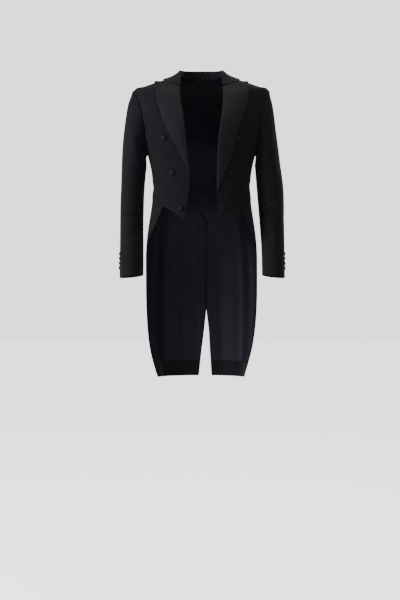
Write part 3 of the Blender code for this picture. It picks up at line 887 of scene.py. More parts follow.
# %% A silk or a satin
def silk_finish(name, dark, light, rib=0.00055, rough=0.42, specular=0.30, ripple=0.0005):
    """A ribbed or satin silk: fine ribs across, soft bloom, rubbed edges and painted edge shade."""
    cloth = Finish(name, Specular_IOR_Level=specular, Sheen_Weight=0.02, Sheen_Roughness=0.3)
    u, v = cloth.axes(rib)
    ribs = v.wave() * 0.8 + (u * 1.9).wave() * 0.2
    cloud = cloth.noise(0.040, 2.0)
    thread = cloth.noise(0.0022, 2.0, (0.06, 1.0, 1))
    worn = cloth.near_edge(0.005)
    tone = ribs * 0.30 + cloud * 0.5 + thread * 0.5 - 0.15
    colour = cloth.blend(tone.between(0.05, 0.95), dark, light)
    # Painted shade: within 1.2 mm of every edge the colour darkens towards 0.6 of the dark tone, as
    # if the edge lay in shadow.
    colour = cloth.blend(cloth.near_edge(0.0012) * 0.35, colour, [c * 0.6 for c in dark])
    roughness = rough + cloud * 0.12 - thread * 0.06 + worn * 0.08
    bumps = [(cloth.noise(0.020, 2.0), ripple), (ribs * 0.7 + thread * 0.3, 0.00010)]
    return cloth.use(colour, roughness, bumps)


# %% Silk, lining and button silk
SILK_FINISH = silk_finish(
    "ribbed_silk", (0.0064, 0.0056, 0.0078), (0.0132, 0.0115, 0.0158), rough=0.60, specular=0.15)
LINING_FINISH = silk_finish(
    "blue_black_satin", (0.0058, 0.0056, 0.0104), (0.0140, 0.0136, 0.0240),
    rib=0.0004, rough=0.42, specular=0.16, ripple=0.0012)
BUTTON_FINISH = silk_finish(
    "button_silk", (0.0040, 0.0033, 0.0036), (0.0090, 0.0075, 0.0079),
    rib=0.0005, rough=0.50, specular=0.16, ripple=0.0002)
print("silks:", SILK_FINISH.name, LINING_FINISH.name, BUTTON_FINISH.name)


# %% Thread
def thread_finish():
    """Twisted silk thread."""
    cloth = Finish("buttonhole_twist", Specular_IOR_Level=0.3)
    place = cloth.node("ShaderNodeTexCoord", out="Object")
    grain = cloth.node("ShaderNodeTexNoise", None, {"Vector": place, "Scale": 900.0, "Detail": 2.0})
    colour = cloth.blend(grain.between(0.2, 0.8), (0.006, 0.005, 0.006), (0.020, 0.018, 0.019))
    return cloth.use(colour, grain * 0.2 + 0.40, [(grain, 0.0002)])


THREAD_FINISH = thread_finish()
print("thread:", THREAD_FINISH.name)

# %% [markdown]
# ## Panels of wool
#
# Front, side body, back and tail on each side. The back runs on below the waist as a narrow strip
# beside the centre vent, and the tail is sewn to it. The wearer's right strip laps under the left.
# Above the point where the lapel breaks, the front's own edge is set back a little, because the
# lapel rolls round it.

# %% Keeping a piece
PIECES = {}
# The right strip beside the vent: how far in it lies, the x where it starts to go in and the
# width over which it does, and the same for the distance below the waist seam
LAP_DEPTH = 0.0034
LAP_WIDTH = (0.016, 0.014)
LAP_START = (0.0150, 0.010)


def under_lap(grid, side):
    """The right strip beside the vent lies a little further in, under the left one."""
    at = form(grid[..., 0], grid[..., 1])
    below = smooth((WAIST_SEAM - LAP_START[0] - at[..., 2]) / LAP_START[1])
    beside = smooth((LAP_WIDTH[0] - at[..., 0]) / LAP_WIDTH[1])
    return -LAP_DEPTH * below * beside * (side < 0)


def keep(key, cloth, word, grid, lift=0.0, thick=WOOL, finish=WOOL_FINISH):
    """Makes a piece of cloth on one half of the body, and keeps it under its solid's name."""
    side = SIDES[word]
    grid = edge_lines(grid)
    PIECES[f"{key}_{word}"] = on_body(
        f"{cloth}_{word}", side, grid, lift + under_lap(grid, side), thick, finish)


print("the right strip laps", LAP_DEPTH * 1000, "mm under the left one")


# %% Panels
# How far the front's edge is set back above the lapel's end, how it comes there from just below
# that end, and the lines of the patch over which that fades out
ROLL_BACK = 0.0022
ROLL_START = (0.005, 0.03)
ROLL_LINES = 8
for word, side in SIDES.items():
    front = front_grid(side)
    edge_z = form(front[0, :, 0], front[0, :, 1])[:, 2]
    rolled = smooth((edge_z - LAPEL_END[side] + ROLL_START[0]) / ROLL_START[1])
    fade = np.linspace(1, 0, ROLL_LINES)[:, None]
    front[:ROLL_LINES, :, 0] += rolled * ROLL_BACK / DEGREE * fade
    keep("front", "wool_front", word, inset(front))
    keep("side_body", "wool_side_body", word, inset(side_grid()))
    keep("back", "wool_back", word, inset(back_grid(side), right=0))
    keep("tail", "wool_tail", word, inset(tail_grid(side)))
print("panels:", len(PIECES))

# %% [markdown]
# ## Linings and facings
#
# Inside, a strip of wool faces each front edge, and satin covers the rest. The satin stops short
# of the hem, so that a turn-up of wool shows below it, and a bump in its finish makes it
# ripple. Beside the vent the satin stops short too, and above it the two sides meet.

# %% Linings
# Lines of the front's patch that the facing covers. The satin starts two lines before its end
FACING_LINES = 15
FACING = 0.0012
# How far inside the wool each layer lies
INSIDE = {"facing": 0.0018, "front": 0.0012, "side": 0.0014, "back": 0.0018, "tail": 0.0008}
# Widths of wool that show beside the satin of a tail: at its outer edge, the vent and the hem
TAIL_EDGES = {"left": 0.004, "right": 0.006, "low": 0.046, "high": 0}
# The vent's top, and the height over which the two sides of the satin meet above it
VENT_TOP = -0.462
VENT_CLOSE = 0.018
for word, side in SIDES.items():
    front = front_grid(side)
    facing = inset(front[:FACING_LINES], left=0.002, right=0, low=0.002, high=0.002)
    keep("facing", "wool_facing", word, facing, -WOOL - INSIDE["facing"], FACING)
    back = back_grid(side)
    skirt = np.concatenate([tail_grid(side), back[1:, :TAIL_STEPS + 1]])
    sewn = inset(skirt, **{**TAIL_EDGES, "right": 0})
    share = smooth((sewn[..., 1:] - VENT_TOP) / VENT_CLOSE)
    satins = {
        "front": inset(front[FACING_LINES - 2:], left=0, right=0.0004, low=0.006, high=0.0006),
        "side": inset(side_grid(), left=0.0003, right=0.0003, low=0, high=0.002),
        "back": inset(back[:, TAIL_STEPS:], left=0.0003, right=0, low=0, high=0.0003),
        "tail": inset(skirt, **TAIL_EDGES) * (1 - share) + sewn * share,
    }
    for part, grid in satins.items():
        keep(f"{part}_lining", f"satin_{part}", word, grid, -WOOL - INSIDE[part], LINING,
             LINING_FINISH)
print("pieces so far:", len(PIECES))

# %% [markdown]
# ## Lapels
#
# A peaked lapel is the facing turned out over the front. It starts inside the front, rolls round
# the edge with no crease, lies on the chest, and stands off it a little more towards the tip of
# the peak. Its section is a list of steps from the inside to the roll, and its outer edge is
# a rounded, picked edge.

# %% The lie of a lapel
# Gap between front and lapel at the roll, and how much more the lapel stands off outside it, in
# its upper part, and at the tip of its peak
LAPEL_GAP = 0.0011
LAPEL_SPRING = 0.0009
CHEST_SPRING = 0.0005
PEAK_SPRING = 0.0034
LAPEL_STEPS = 14 * FINE


def lapel_grid(side):
    """From the roll line out, and from the lapel's lower end up to the gorge and the peak."""
    z = np.linspace(LAPEL_END[side], GORGE_IN[1], LAPEL_STEPS + 1)
    roll = spot(front_x(z, side) + 0.0003, z)
    z = np.linspace(LAPEL_END[side], LAPEL_EDGE[side][-1][0], LAPEL_STEPS + 1)
    outer = spot(Curve(LAPEL_EDGE[side])(z)[:, 0], z)
    low = resample([roll[0], outer[0]], 6 * FINE)
    high = resample([spot(*GORGE_IN), spot(*GORGE_OUT), outer[-1]], 6 * FINE)
    roll[-1] = high[0]
    outer[-1] = high[-1]
    grid = patch(roll, outer, low, high)
    grid[:, -1, 1] -= 0.0010
    return grid


def lapel_lift(grid):
    """Off the front by a hair at the roll line, more outside it, most at the tip of the peak."""
    across, up = grid.shape[:2]
    u = np.linspace(0, 1, across)[:, None]
    v = np.linspace(0, 1, up)[None]
    lift = LAPEL_GAP + SILK + LAPEL_SPRING * smooth(u / 0.35)
    lift = lift + CHEST_SPRING * smooth(u / 0.3) * smooth((v - 0.6) / 0.25)
    return lift + PEAK_SPRING * smooth((u - 0.55) / 0.45) * smooth((v - 0.86) / 0.14)


print("lapel stands off at most, mm:", round(lapel_lift(lapel_grid(1)).max() * 1000, 1))


# %% A lapel
# Distance out from the roll line and lift off the front, from the inside of the front to the lapel
ROLL = [
    (0.0150, -0.0030), (0.0110, -0.0030), (0.0070, -0.0030), (0.0040, -0.0029),
    (0.0022, -0.0027), (0.0010, -0.0021), (0.0003, -0.0012), (0.0001, -0.0002),
    (0.0003, 0.0009), (0.0011, 0.0020), (0.0024, 0.0028),
]
# Width under which a lapel rolls more tightly, and the distance out at which its own patch starts
FULL_WIDTH = 0.020
ROLL_WIDTH = 0.0036
# How far under its lift the middle of the cloth lies, half the thickness at the roll, what that
# gains outside the roll, and the lines over which it does
MIDDLE_DOWN = 0.0005
ROLL_HALF = 0.0006
HALF_GAIN = 0.0005
GAIN_LINES = 8


def normals(middle):
    """Unit normals of a grid of points."""
    normal = np.cross(np.gradient(middle, axis=0), np.gradient(middle, axis=1))
    return normal / np.linalg.norm(normal, axis=-1, keepdims=True)


def lapel(word, side):
    """The roll's lines, then the lapel's own, as one cloth."""
    grid = lapel_grid(side)
    far = lengths(form(grid[..., 0], grid[..., 1]), 0)
    size = np.minimum(1, far[-1] / FULL_WIDTH)
    step = (grid[6] - grid[0]) / np.maximum(far[6], 1e-6)[:, None]
    lines = [grid[0] + step * (out * size)[:, None] for out, _ in ROLL]
    lifts = [height * (0.35 + 0.65 * size) for _, height in ROLL]
    start = 1 + int(np.argmax(far.mean(1)[1:] > ROLL_WIDTH))
    turn_run = np.concatenate([lines, grid[start:]])
    height = np.concatenate([lifts, lapel_lift(grid)[start:]])
    middle = lifted(turn_run[..., 0], turn_run[..., 1], height - MIDDLE_DOWN, side)
    outside = smooth((np.arange(len(middle)) - (len(ROLL) - 1)) / GAIN_LINES)[:, None, None]
    half = normals(middle) * side * (ROLL_HALF + HALF_GAIN * outside)
    return shell(f"silk_lapel_{word}", edge_lines(middle + half), edge_lines(middle - half),
                 SILK_FINISH, dip=0.0004, bulge=0.0006)


# %% Lapels
for word, side in SIDES.items():
    PIECES[f"lapel_{word}"] = lapel(word, side)

# %% [markdown]
# ## Collar
#
# The collar is one strip round the back of the neck: it stands up inside, folds over, and falls on
# the shoulders to meet the lapels at the gorge seam. Its section at each place round the neck is
# a line of eight points, and smooth curves through them both ways make the cloth.

# %% The lie of the collar
# Lift of the fall off the shoulders, half the thickness, and the height of the stand where it
# leaves the gorge, then at the side of the neck, with what it gains from there to the back
FALL_LIFT = 0.0036
COLLAR_HALF = 0.0010
STANDS = (0.002, 0.003, 0.005, 0.0075, 0.0105)
SIDE_STAND = 0.0125
BACK_GAIN = 0.0155
# Outer edge of the fall: first and last point beside the shoulder seam, and middle of the back
FALL_EDGE = [(88.0, 0.0750), (90.0, 0.0752), (180.0, 0.0865)]
# Shares of the way down the fall, after the fold
FALL_SHARES = (0.10, 0.35, 0.68, 1.0)


def collar_sections():
    """Sections of the collar's middle from the gorge round to the middle of the back."""
    z = np.linspace(GORGE_IN[1] + 0.001, 0.012, len(STANDS))
    path = np.concatenate([
        spot(front_x(z, -1), z), np.stack([np.linspace(86, 180, 8), np.full(8, NECK)], -1)])
    corner = spot(GORGE_OUT[0], GORGE_OUT[1] + 0.0015)
    outer = np.concatenate([resample([corner, FALL_EDGE[0]], 4), resample(FALL_EDGE[1:], 7)])
    rise = [*STANDS, *(SIDE_STAND + BACK_GAIN * np.sin(np.linspace(0, math.pi / 2, 8)))]
    rows = []
    for (turn, run), (turn_out, run_out), tall in zip(path, outer, rise):
        facing_out = math.radians(max(turn, 90.0))
        level = np.array([math.sin(facing_out), -math.cos(facing_out), 0])
        foot = form(turn, run) - level * 0.00175 + (0, 0, 0.0010)
        top = foot + level * 0.0016 + (0, 0, tall + 0.0014)
        line = [foot, foot * 0.45 + (top - level * 0.0022) * 0.55, top - level * 0.0020, top]
        above = top - lifted(turn, run, FALL_LIFT, 1)
        for share in FALL_SHARES:
            at = (turn + (turn_out - turn) * share, run + (run_out - run) * share)
            line.append(lifted(*at, FALL_LIFT, 1) + above * (1 - share) ** 3.2)
        rows.append(line)
    return np.array(rows)


def smooth_grid(grid, steps):
    """A grid with smooth curves through its points, along as many axes as there are steps."""
    for axis, count in enumerate(steps):
        grid = np.moveaxis(grid, axis, 0)
        shape = grid.shape[1:]
        curve = Curve(np.column_stack([np.arange(len(grid)), grid.reshape(len(grid), -1)]))
        grid = curve(np.linspace(0, len(grid) - 1, count)).reshape(count, *shape)
        grid = np.moveaxis(grid, 0, axis)
    return grid


print("stand at the back, mm:", round((SIDE_STAND + BACK_GAIN) * 1000, 1))


# %% Collar
sections = collar_sections()
sections = np.concatenate([sections, sections[::-1][1:] * (-1, 1, 1)])
whole = edge_lines(smooth_grid(sections, (145, 36)))
half = normals(whole) * COLLAR_HALF
PIECES["collar"] = shell(
    "wool_collar", whole + half, whole - half, WOOL_FINISH, dip=0.0004, bulge=0.0006)

# %% [markdown]
# ## Sleeves
#
# Each sleeve has a wide top piece and a narrow under piece. The cap starts on the armhole, swells
# over the shoulder and settles into a tube, which bends forward to the wrist. Creases gather
# inside the elbow and under the arm. They are strokes again, on a chart of angle and height.

# %% Sleeve tables
# Sleeve below the armpit: z, inner x, outer x on the right, inner x, outer x on the left, middle
# y, half depth
SLEEVE = Curve([
    (-0.672, 0.1950, 0.2750, 0.2030, 0.2800, -0.022, 0.0480),
    (-0.580, 0.1950, 0.2750, 0.2020, 0.2796, -0.010, 0.0500),
    (-0.500, 0.1960, 0.2750, 0.1975, 0.2792, 0.000, 0.0540),
    (-0.430, 0.1950, 0.2745, 0.1920, 0.2790, 0.005, 0.0590),
    (-0.360, 0.1920, 0.2720, 0.1860, 0.2765, 0.004, 0.0610),
    (-0.290, 0.1850, 0.2695, 0.1800, 0.2670, 0.001, 0.0640),
])
# Heights of the bicep and the cuff, how far the cuff's lowest point hangs below, and its angle
BICEP = -0.290
CUFF = -0.659
CUFF_SLANT = 0.010
SLANT_ANGLE = 330
# How strongly the cap leaves the armhole outwards, and how it slopes where it reaches the tube
CAP_SWELL = {-1: 0.090, 1: 0.050}
CAP_SLOPE = {-1: 0.004, 1: 0.034}
# Degrees by which the tube turns forward between bicep and cuff
SLEEVE_TWIST = 62.0
# Limits of along, which is the place on a sleeve, and a small step of it
ALONG_LIMITS = (-0.04, 2)
ALONG_NUDGE = 0.02
# How far outside the armhole the cap starts, and how steeply its turned-in end goes in
TUCK = 0.0004
TUCK_SLOPE = 0.08
# One degree round a sleeve, in metres, and half the gap of its seams, in degrees
SLEEVE_DEGREE = 0.00085
SLEEVE_SEAM = 0.18
# Ease of the cap, a rise beside the armhole seam and a dip after it: height, then place and width
CAP_EASE = [(0.0016, 0.07, 0.05), (-0.0012, 0.21, 0.07)]
print("sleeve, metres long:", round(SHOULDER - CUFF, 3))

# %% Folds of the sleeves
# angle and z at one end, angle and z at the other, half width, height. 0 is outwards, 90 in front
SLEEVE_FOLDS = {
    -1: np.array([
        (152, -0.446, 56, -0.388, 0.0105, -0.0044),
        (148, -0.450, 96, -0.428, 0.0075, 0.0026),
        (156, -0.458, 44, -0.470, 0.0090, -0.0032),
        (150, -0.470, 104, -0.494, 0.0080, 0.0030),
        (146, -0.480, 86, -0.532, 0.0120, -0.0024),
        (118, -0.372, 74, -0.340, 0.0130, -0.0016),
        (215, -0.430, 290, -0.446, 0.0120, 0.0026),
        (210, -0.466, 280, -0.474, 0.0110, -0.0023),
        (96, -0.205, 150, -0.262, 0.0120, -0.0043),
        (70, -0.175, 120, -0.300, 0.0140, 0.0026),
        (32, -0.110, 48, -0.330, 0.0180, -0.0023),
        (330, -0.120, 322, -0.340, 0.0170, 0.0020),
        (30, -0.560, 75, -0.610, 0.0130, -0.0020),
        (250, -0.200, 222, -0.290, 0.0140, -0.0038),
    ]),
    1: np.array([
        (150, -0.436, 78, -0.412, 0.0090, -0.0030),
        (146, -0.446, 40, -0.420, 0.0080, 0.0028),
        (154, -0.456, 62, -0.462, 0.0110, -0.0045),
        (142, -0.474, 70, -0.510, 0.0095, 0.0021),
        (34, -0.448, 8, -0.474, 0.0100, -0.0022),
        (126, -0.502, 98, -0.540, 0.0130, -0.0017),
        (220, -0.410, 296, -0.432, 0.0120, 0.0029),
        (214, -0.450, 276, -0.462, 0.0110, -0.0026),
        (92, -0.215, 146, -0.250, 0.0120, -0.0038),
        (64, -0.185, 116, -0.290, 0.0150, 0.0029),
        (28, -0.150, 40, -0.360, 0.0190, -0.0026),
        (336, -0.140, 326, -0.320, 0.0170, 0.0017),
        (40, -0.545, 84, -0.590, 0.0140, -0.0023),
        (246, -0.190, 226, -0.300, 0.0140, -0.0032),
    ]),
}
print("strokes:", {word: len(SLEEVE_FOLDS[side]) for word, side in SIDES.items()})


# %% A point of a sleeve
def sleeve_tube(angle, along, side):
    """Point of a sleeve. along is 0 at the armhole, 1 at the bicep, 2 at the cuff, less inside."""
    angle, along = np.broadcast_arrays(np.asarray(angle, float), np.asarray(along, float))
    a = np.radians(angle)
    top = np.cos(a / 2) ** 2
    edge = beside_armhole(np.mod(angle, 360), np.full(angle.shape, TUCK))
    start = lifted(edge[..., 0], edge[..., 1], TUCK_SLOPE * np.minimum(along, 0), side)
    start = start * (side, 1, 1)
    inner, outer = (0, 1) if side < 0 else (2, 3)
    down_arm = np.clip(along - 1, 0, 1)
    turned = np.radians(angle + SLEEVE_TWIST * down_arm)
    fall = CUFF - CUFF_SLANT * (1 + np.cos(turned - math.radians(SLANT_ANGLE))) / 2
    z = BICEP + (fall - BICEP) * down_arm
    row = SLEEVE(z)
    half = (row[..., outer] - row[..., inner]) / 2
    centre = (row[..., outer] + row[..., inner]) / 2
    tube = np.stack([
        centre + half * np.cos(turned), row[..., 4] - row[..., 5] * np.sin(turned), z], -1)
    # How the cloth sets out from the armhole, and how it comes down to the bicep
    out = np.stack([
        CAP_SWELL[side] * (0.30 + 0.70 * top), -0.035 * np.sin(a), -0.06 * top], -1)
    down = np.stack([CAP_SLOPE[side] * top, 0 * a, -0.05 - 0.25 * top], -1)
    t = np.clip(along, 0, 1)[..., None]
    cap = start * (2 * t ** 3 - 3 * t ** 2 + 1) + out * (t ** 3 - 2 * t ** 2 + t)
    cap = cap + tube * (3 * t ** 2 - 2 * t ** 3) + down * (t ** 3 - t ** 2)
    return np.where((along > 1)[..., None], tube, cap)


def sleeve_point(angle, along, side, lift=0.0):
    """Point of a sleeve with its folds, lifted off, and the normal there."""
    angle, along, lift = np.broadcast_arrays(
        np.asarray(angle, float), np.asarray(along, float), np.asarray(lift, float))
    here = sleeve_tube(angle, along, side)
    beside = sleeve_tube(angle + 1, along, side) - sleeve_tube(angle - 1, along, side)
    below = sleeve_tube(angle, np.clip(along + ALONG_NUDGE, *ALONG_LIMITS), side)
    below = below - sleeve_tube(angle, np.clip(along - ALONG_NUDGE, *ALONG_LIMITS), side)
    normal = np.cross(beside, below)
    normal /= np.linalg.norm(normal, axis=-1, keepdims=True)
    turned = np.mod(angle + SLEEVE_TWIST * np.clip(along - 1, 0, 1), 360)
    fold = strokes(turned, here[..., 2], SLEEVE_FOLDS[side], SLEEVE_DEGREE)
    fold = fold * smooth(along / 0.25) * smooth((2.05 - along) / 0.15)
    for height, place, width in CAP_EASE:
        top = np.cos(np.radians(angle) / 2) ** 4
        fold = fold + height * top * np.exp(-((along - place) / width) ** 2)
    flip = np.array([side, 1, 1])
    return (here + normal * (fold + lift)[..., None]) * flip, normal * flip


def sleeve_chart(first, last, rows, trim):
    """Angles and rows of a piece of sleeve between two seams, which are trim degrees away."""
    angles = np.linspace(first + trim, last - trim, (last - first) * AROUND // 360 + 1)
    return np.meshgrid(angles, rows, indexing="ij")


def sleeve_shell(name, first, last, side, rows):
    """A piece of wool sleeve between two angles."""
    angle, along = sleeve_chart(first, last, rows, SLEEVE_SEAM)
    outer, normal = sleeve_point(angle, along, side)
    return shell(name, edge_lines(outer), edge_lines(outer - normal * WOOL), WOOL_FINISH)


print("right cuff at", sleeve_point(0, 2, -1)[0].round(3))

# %% [markdown]
# The lining of a sleeve is cut longer than the armhole needs. Its end comes through into the body,
# turns outwards, and is felled over the armhole seam, so that no raw edge shows inside.

# %% Sleeve linings
# The felled end: metres from the armhole, away from its middle, and lift off the form
FELLED = [(0.0130, -0.0057), (0.0070, -0.0057), (0.0015, -0.0055), (-0.0030, -0.0038)]
# Rows of the tube that the smooth corner takes in, and the rows that it is made of
CORNER_ROWS = 3
CORNER_STEPS = 30
# Distance between the wool of a sleeve and its lining
SLEEVE_INSIDE = 0.0015


def sleeve_lining(name, first, last, side, rows):
    """A piece of satin inside a sleeve, with its end felled round the armhole."""
    angle, along = sleeve_chart(first, last, rows, 0.0)
    tube, _ = sleeve_point(angle, along, side, -WOOL - SLEEVE_INSIDE)
    ring = []
    for out, lift in FELLED:
        edge = beside_armhole(np.mod(angle[:, 0], 360), np.full(len(angle), out))
        ring.append(lifted(edge[:, 0], edge[:, 1], lift, side))
    corner = np.concatenate([ring, tube[:, :CORNER_ROWS].swapaxes(0, 1)])
    corner = smooth_grid(corner, (CORNER_STEPS,)).swapaxes(0, 1)
    middle = np.concatenate([corner, tube[:, CORNER_ROWS:]], 1)
    half = normals(middle) * side * LINING / 2
    return shell(name, edge_lines(middle + half), edge_lines(middle - half), LINING_FINISH)


print("felled", FELLED[0][0] * 1000, "mm round the armhole")


# %% Sleeves
ALONG = np.concatenate([[-0.020, -0.008], np.linspace(0, 1, 46), np.linspace(1, 2, 81)[1:]])
LINED = np.linspace(0.05, 1.95, 84)
# Angles of the seams between the top piece and the under piece
SEAMS = {"top": (-90, 120), "under": (120, 270)}
for word, side in SIDES.items():
    for piece, (first, last) in SEAMS.items():
        PIECES[f"{piece}_sleeve_{word}"] = sleeve_shell(
            f"wool_{piece}_sleeve_{word}", first, last, side, ALONG)
        PIECES[f"{piece}_sleeve_lining_{word}"] = sleeve_lining(
            f"satin_{piece}_sleeve_{word}", first, last, side, LINED)
print("sleeves:", [k for k in PIECES if "sleeve" in k])

# %% [markdown]
# ## Breast welt
#
# The breast pocket of the wearer's left front has a stiff welt, sewn on at its lower edge and
# ends. Most of it hides under the lapel.

# %% Breast welt
# Corners of the welt, from the inner low one round: x, z
WELT = [(0.076, -0.2545), (0.144, -0.2525), (0.146, -0.2295), (0.078, -0.2315)]
WELT_LIFT = 0.0017
WELT_THICK = 0.0014
low_in, low_out, high_out, high_in = (spot(x, z) for x, z in WELT)
welt = patch(
    resample([low_in, high_in], 8), resample([low_out, high_out], 8),
    resample([low_in, low_out], 20), resample([high_in, high_out], 20))
PIECES["breast_welt"] = on_body(
    "wool_breast_welt", SIDES["left"], edge_lines(welt), WELT_LIFT, WELT_THICK, WOOL_FINISH,
    dip=0.0003)

# %% [markdown]
# ## Buttons
#
# All buttons are covered in silk: a domed shell over a ring, gathered at the back. Its section is
# turned about its axis. The same section serves the fronts, the waist and, smaller, the cuffs.

# %% A button
# Radius and height of the front and waist buttons, and of the cuff buttons
LARGE = (0.0095, 0.0060)
SMALL = (0.0072, 0.0048)
ROUND_STEPS = 40
# Section from the back to the top: share of the radius, share of the height
SECTION = [
    (0.50, 0.02), (0.80, 0.02), (0.93, 0.08), (0.995, 0.22), (1.0, 0.34), (0.965, 0.47),
    (0.90, 0.56), (0.865, 0.60), (0.80, 0.70), (0.64, 0.84), (0.42, 0.945), (0.20, 0.99),
]


def button(name, centre, axis, radius, height):
    """A covered button with its back at centre, facing along axis."""
    axis = np.asarray(axis, float) / np.linalg.norm(axis)
    one = np.cross(axis, (0, 0, 1.0))
    one /= np.linalg.norm(one)
    two = np.cross(axis, one)
    count = ROUND_STEPS
    angle = np.linspace(0, 2 * math.pi, count, endpoint=False)
    ray = one * np.cos(angle)[:, None] + two * np.sin(angle)[:, None]
    rings = [centre + ray * radius * r + axis * height * h for r, h in SECTION]
    back = centre + axis * height * SECTION[0][1]
    points = np.concatenate(rings + [[back, centre + axis * height]])
    k = np.arange(count)
    after = (k + 1) % count
    starts = np.arange(len(SECTION) - 1) * count
    quads = [np.stack([s + k, s + after, s + count + after, s + count + k], -1) for s in starts]
    base, tip = len(points) - 2, len(points) - 1
    last = (len(SECTION) - 1) * count
    fans = np.concatenate([
        np.stack([np.full(count, base), after, k], -1),
        np.stack([np.full(count, tip), last + k, last + after], -1)])
    flat = (points - centre) @ np.stack([one, two], -1)
    gap = radius - np.linalg.norm(flat, axis=1)
    return build(name, points, [np.concatenate(quads), fans], BUTTON_FINISH, flat, gap)


def body_button(key, side, x, z, gap, rear=False):
    """A large button that stands gap metres off the cloth, where x and z show it."""
    turn, run = spot(x, z, rear)
    axis = outward(turn, run) * (side, 1, 1)
    PIECES[key] = button(f"silk_{key}", lifted(turn, run, gap, side), axis, *LARGE)


print("buttons, mm across:", [round(radius * 2000, 1) for radius, _ in (LARGE, SMALL)])


# %% Buttons
# x and z of the front buttons and of a waist button, and gaps between cloth and button
FRONT_BUTTONS = {
    -1: [(0.1234, -0.2134), (0.0965, -0.3257), (0.0670, -0.4436)],
    1: [(0.1234, -0.2134), (0.0965, -0.3257), (0.0690, -0.4436)],
}
WAIST_BUTTON = (0.0500, -0.4400)
FRONT_GAP = 0.0006
WAIST_GAP = 0.0009
CUFF_GAP = 0.0005
# Heights of the cuff buttons, and the angle of their row at the cuff
CUFF_BUTTON_Z = (-0.5830, -0.5985, -0.6145, -0.6305)
CUFF_BUTTON_ANGLE = -15
CUFF_SPOTS = {}
for word, side in SIDES.items():
    for number, (x, z) in enumerate(FRONT_BUTTONS[side], 1):
        body_button(f"front_button_{word}_{number}", side, x, z, FRONT_GAP)
    for number, z in enumerate(CUFF_BUTTON_Z, 1):
        along = 1 + (z - BICEP) / (CUFF - 0.5 * CUFF_SLANT - BICEP)
        angle = CUFF_BUTTON_ANGLE - SLEEVE_TWIST * (along - 1)
        CUFF_SPOTS[word, number] = (angle, along)
        key = f"cuff_button_{word}_{number}"
        PIECES[key] = button(f"silk_{key}", *sleeve_point(angle, along, side, CUFF_GAP), *SMALL)
    body_button(f"waist_button_{word}", side, *WAIST_BUTTON, WAIST_GAP, rear=True)
print("buttons:", sum("button" in name for name in PIECES))

# %% [markdown]
# ## Thread
#
# Stitches repeat along a path, so Geometry Nodes make them. A path is a chain of points that
# carries an `aim`, the way each stitch points. The tree spaces the stitches along the path,
# turns each one to its aim, and realises them. Picked edges have small stitches along the edge,
# and a buttonhole has close stitches across it.

# %% The stitch tree
# Sides and rings of one stitch, which is a long bead
BEAD = {"Segments": 6, "Rings": 4, "Radius": 0.5}


def stitch_tree():
    """Beads along a path, each turned to its aim."""
    tree = bpy.data.node_groups.new("stitches", "GeometryNodeTree")
    tree.interface.new_socket("Path", in_out="INPUT", socket_type="NodeSocketGeometry")
    for name in ("Pitch", "Length", "Thickness"):
        tree.interface.new_socket(name, in_out="INPUT", socket_type="NodeSocketFloat")
    tree.interface.new_socket("Thread", in_out="INPUT", socket_type="NodeSocketMaterial")
    tree.interface.new_socket("Stitches", in_out="OUTPUT", socket_type="NodeSocketGeometry")

    def node(kind, sockets, settings=None):
        return add_node(tree, kind, settings, sockets).outputs[0]

    given = add_node(tree, "NodeGroupInput").outputs
    thick = given["Thickness"]
    path = node("GeometryNodeMeshToCurve", {0: given["Path"]})
    spaced = node("GeometryNodeResampleCurve", {"Curve": path, "Length": given["Pitch"]},
                  {"mode": "LENGTH"})
    aim = node("GeometryNodeInputNamedAttribute", {"Name": "aim"}, {"data_type": "FLOAT_VECTOR"})
    turned = node("FunctionNodeAlignRotationToVector", {"Vector": aim}, {"axis": "Z"})
    bead = node("GeometryNodeMeshUVSphere", BEAD)
    size = node("ShaderNodeCombineXYZ", {0: thick, 1: thick, 2: given["Length"]})
    stitch = node("GeometryNodeTransform", {"Geometry": bead, "Scale": size})
    placed = node("GeometryNodeInstanceOnPoints",
                  {"Points": spaced, "Instance": stitch, "Rotation": turned})
    real = node("GeometryNodeRealizeInstances", {0: placed})
    coloured = node("GeometryNodeSetMaterial", {"Geometry": real, "Material": given["Thread"]})
    add_node(tree, "NodeGroupOutput", None, {0: coloured})
    return tree


STITCHES = stitch_tree()
print("stitch tree:", len(STITCHES.nodes), "nodes")


# %% Sewing along a path
def thread(name, lines, pitch, length, thickness):
    """Stitches along lines of (points, aims), as one plain mesh."""
    points = np.concatenate([p for p, _ in lines])
    aims = np.concatenate([a for _, a in lines])
    edges, base = [], 0
    for p, _ in lines:
        edges += [(base + k, base + k + 1) for k in range(len(p) - 1)]
        base += len(p)
    mesh = bpy.data.meshes.new(name + "_path")
    mesh.from_pydata(points.tolist(), edges, [])
    layer = mesh.attributes.new("aim", "FLOAT_VECTOR", "POINT")
    layer.data.foreach_set("vector", aims.astype(np.float32).ravel())
    maker = bpy.data.objects.new(name + "_path", mesh)
    coat.objects.link(maker)
    steps = maker.modifiers.new("stitches", "NODES")
    steps.node_group = STITCHES
    values = {"Pitch": pitch, "Length": length, "Thickness": thickness, "Thread": THREAD_FINISH}
    for item in STITCHES.interface.items_tree:
        if item.in_out == "INPUT" and item.name in values:
            steps[item.identifier] = values[item.name]
    graph = bpy.context.evaluated_depsgraph_get()
    sewn = bpy.data.meshes.new_from_object(maker.evaluated_get(graph))
    bpy.data.objects.remove(maker)
    sewn.name = name
    sewn.shade_smooth()
    made = bpy.data.objects.new(name, sewn)
    coat.objects.link(made)
    return made


def ways(points):
    """The way that a line of points goes at each of them."""
    way = np.gradient(points, axis=0)
    return way / np.linalg.norm(way, axis=1, keepdims=True)


print("paths go through", STITCHES.name)


# %% Picked edges
# Pitch, length and thickness of the stitches, and how far inside an edge they lie: along the
# lapel and the front, and along the cutaway
EDGE_STITCH = (0.0042, 0.0019, 0.00042)
EDGE_IN = 0.003
CUTAWAY_IN = 0.0035
# How far a thread's middle lies off the silk of a lapel and off a cuff
THREAD_LIFT = 0.0002


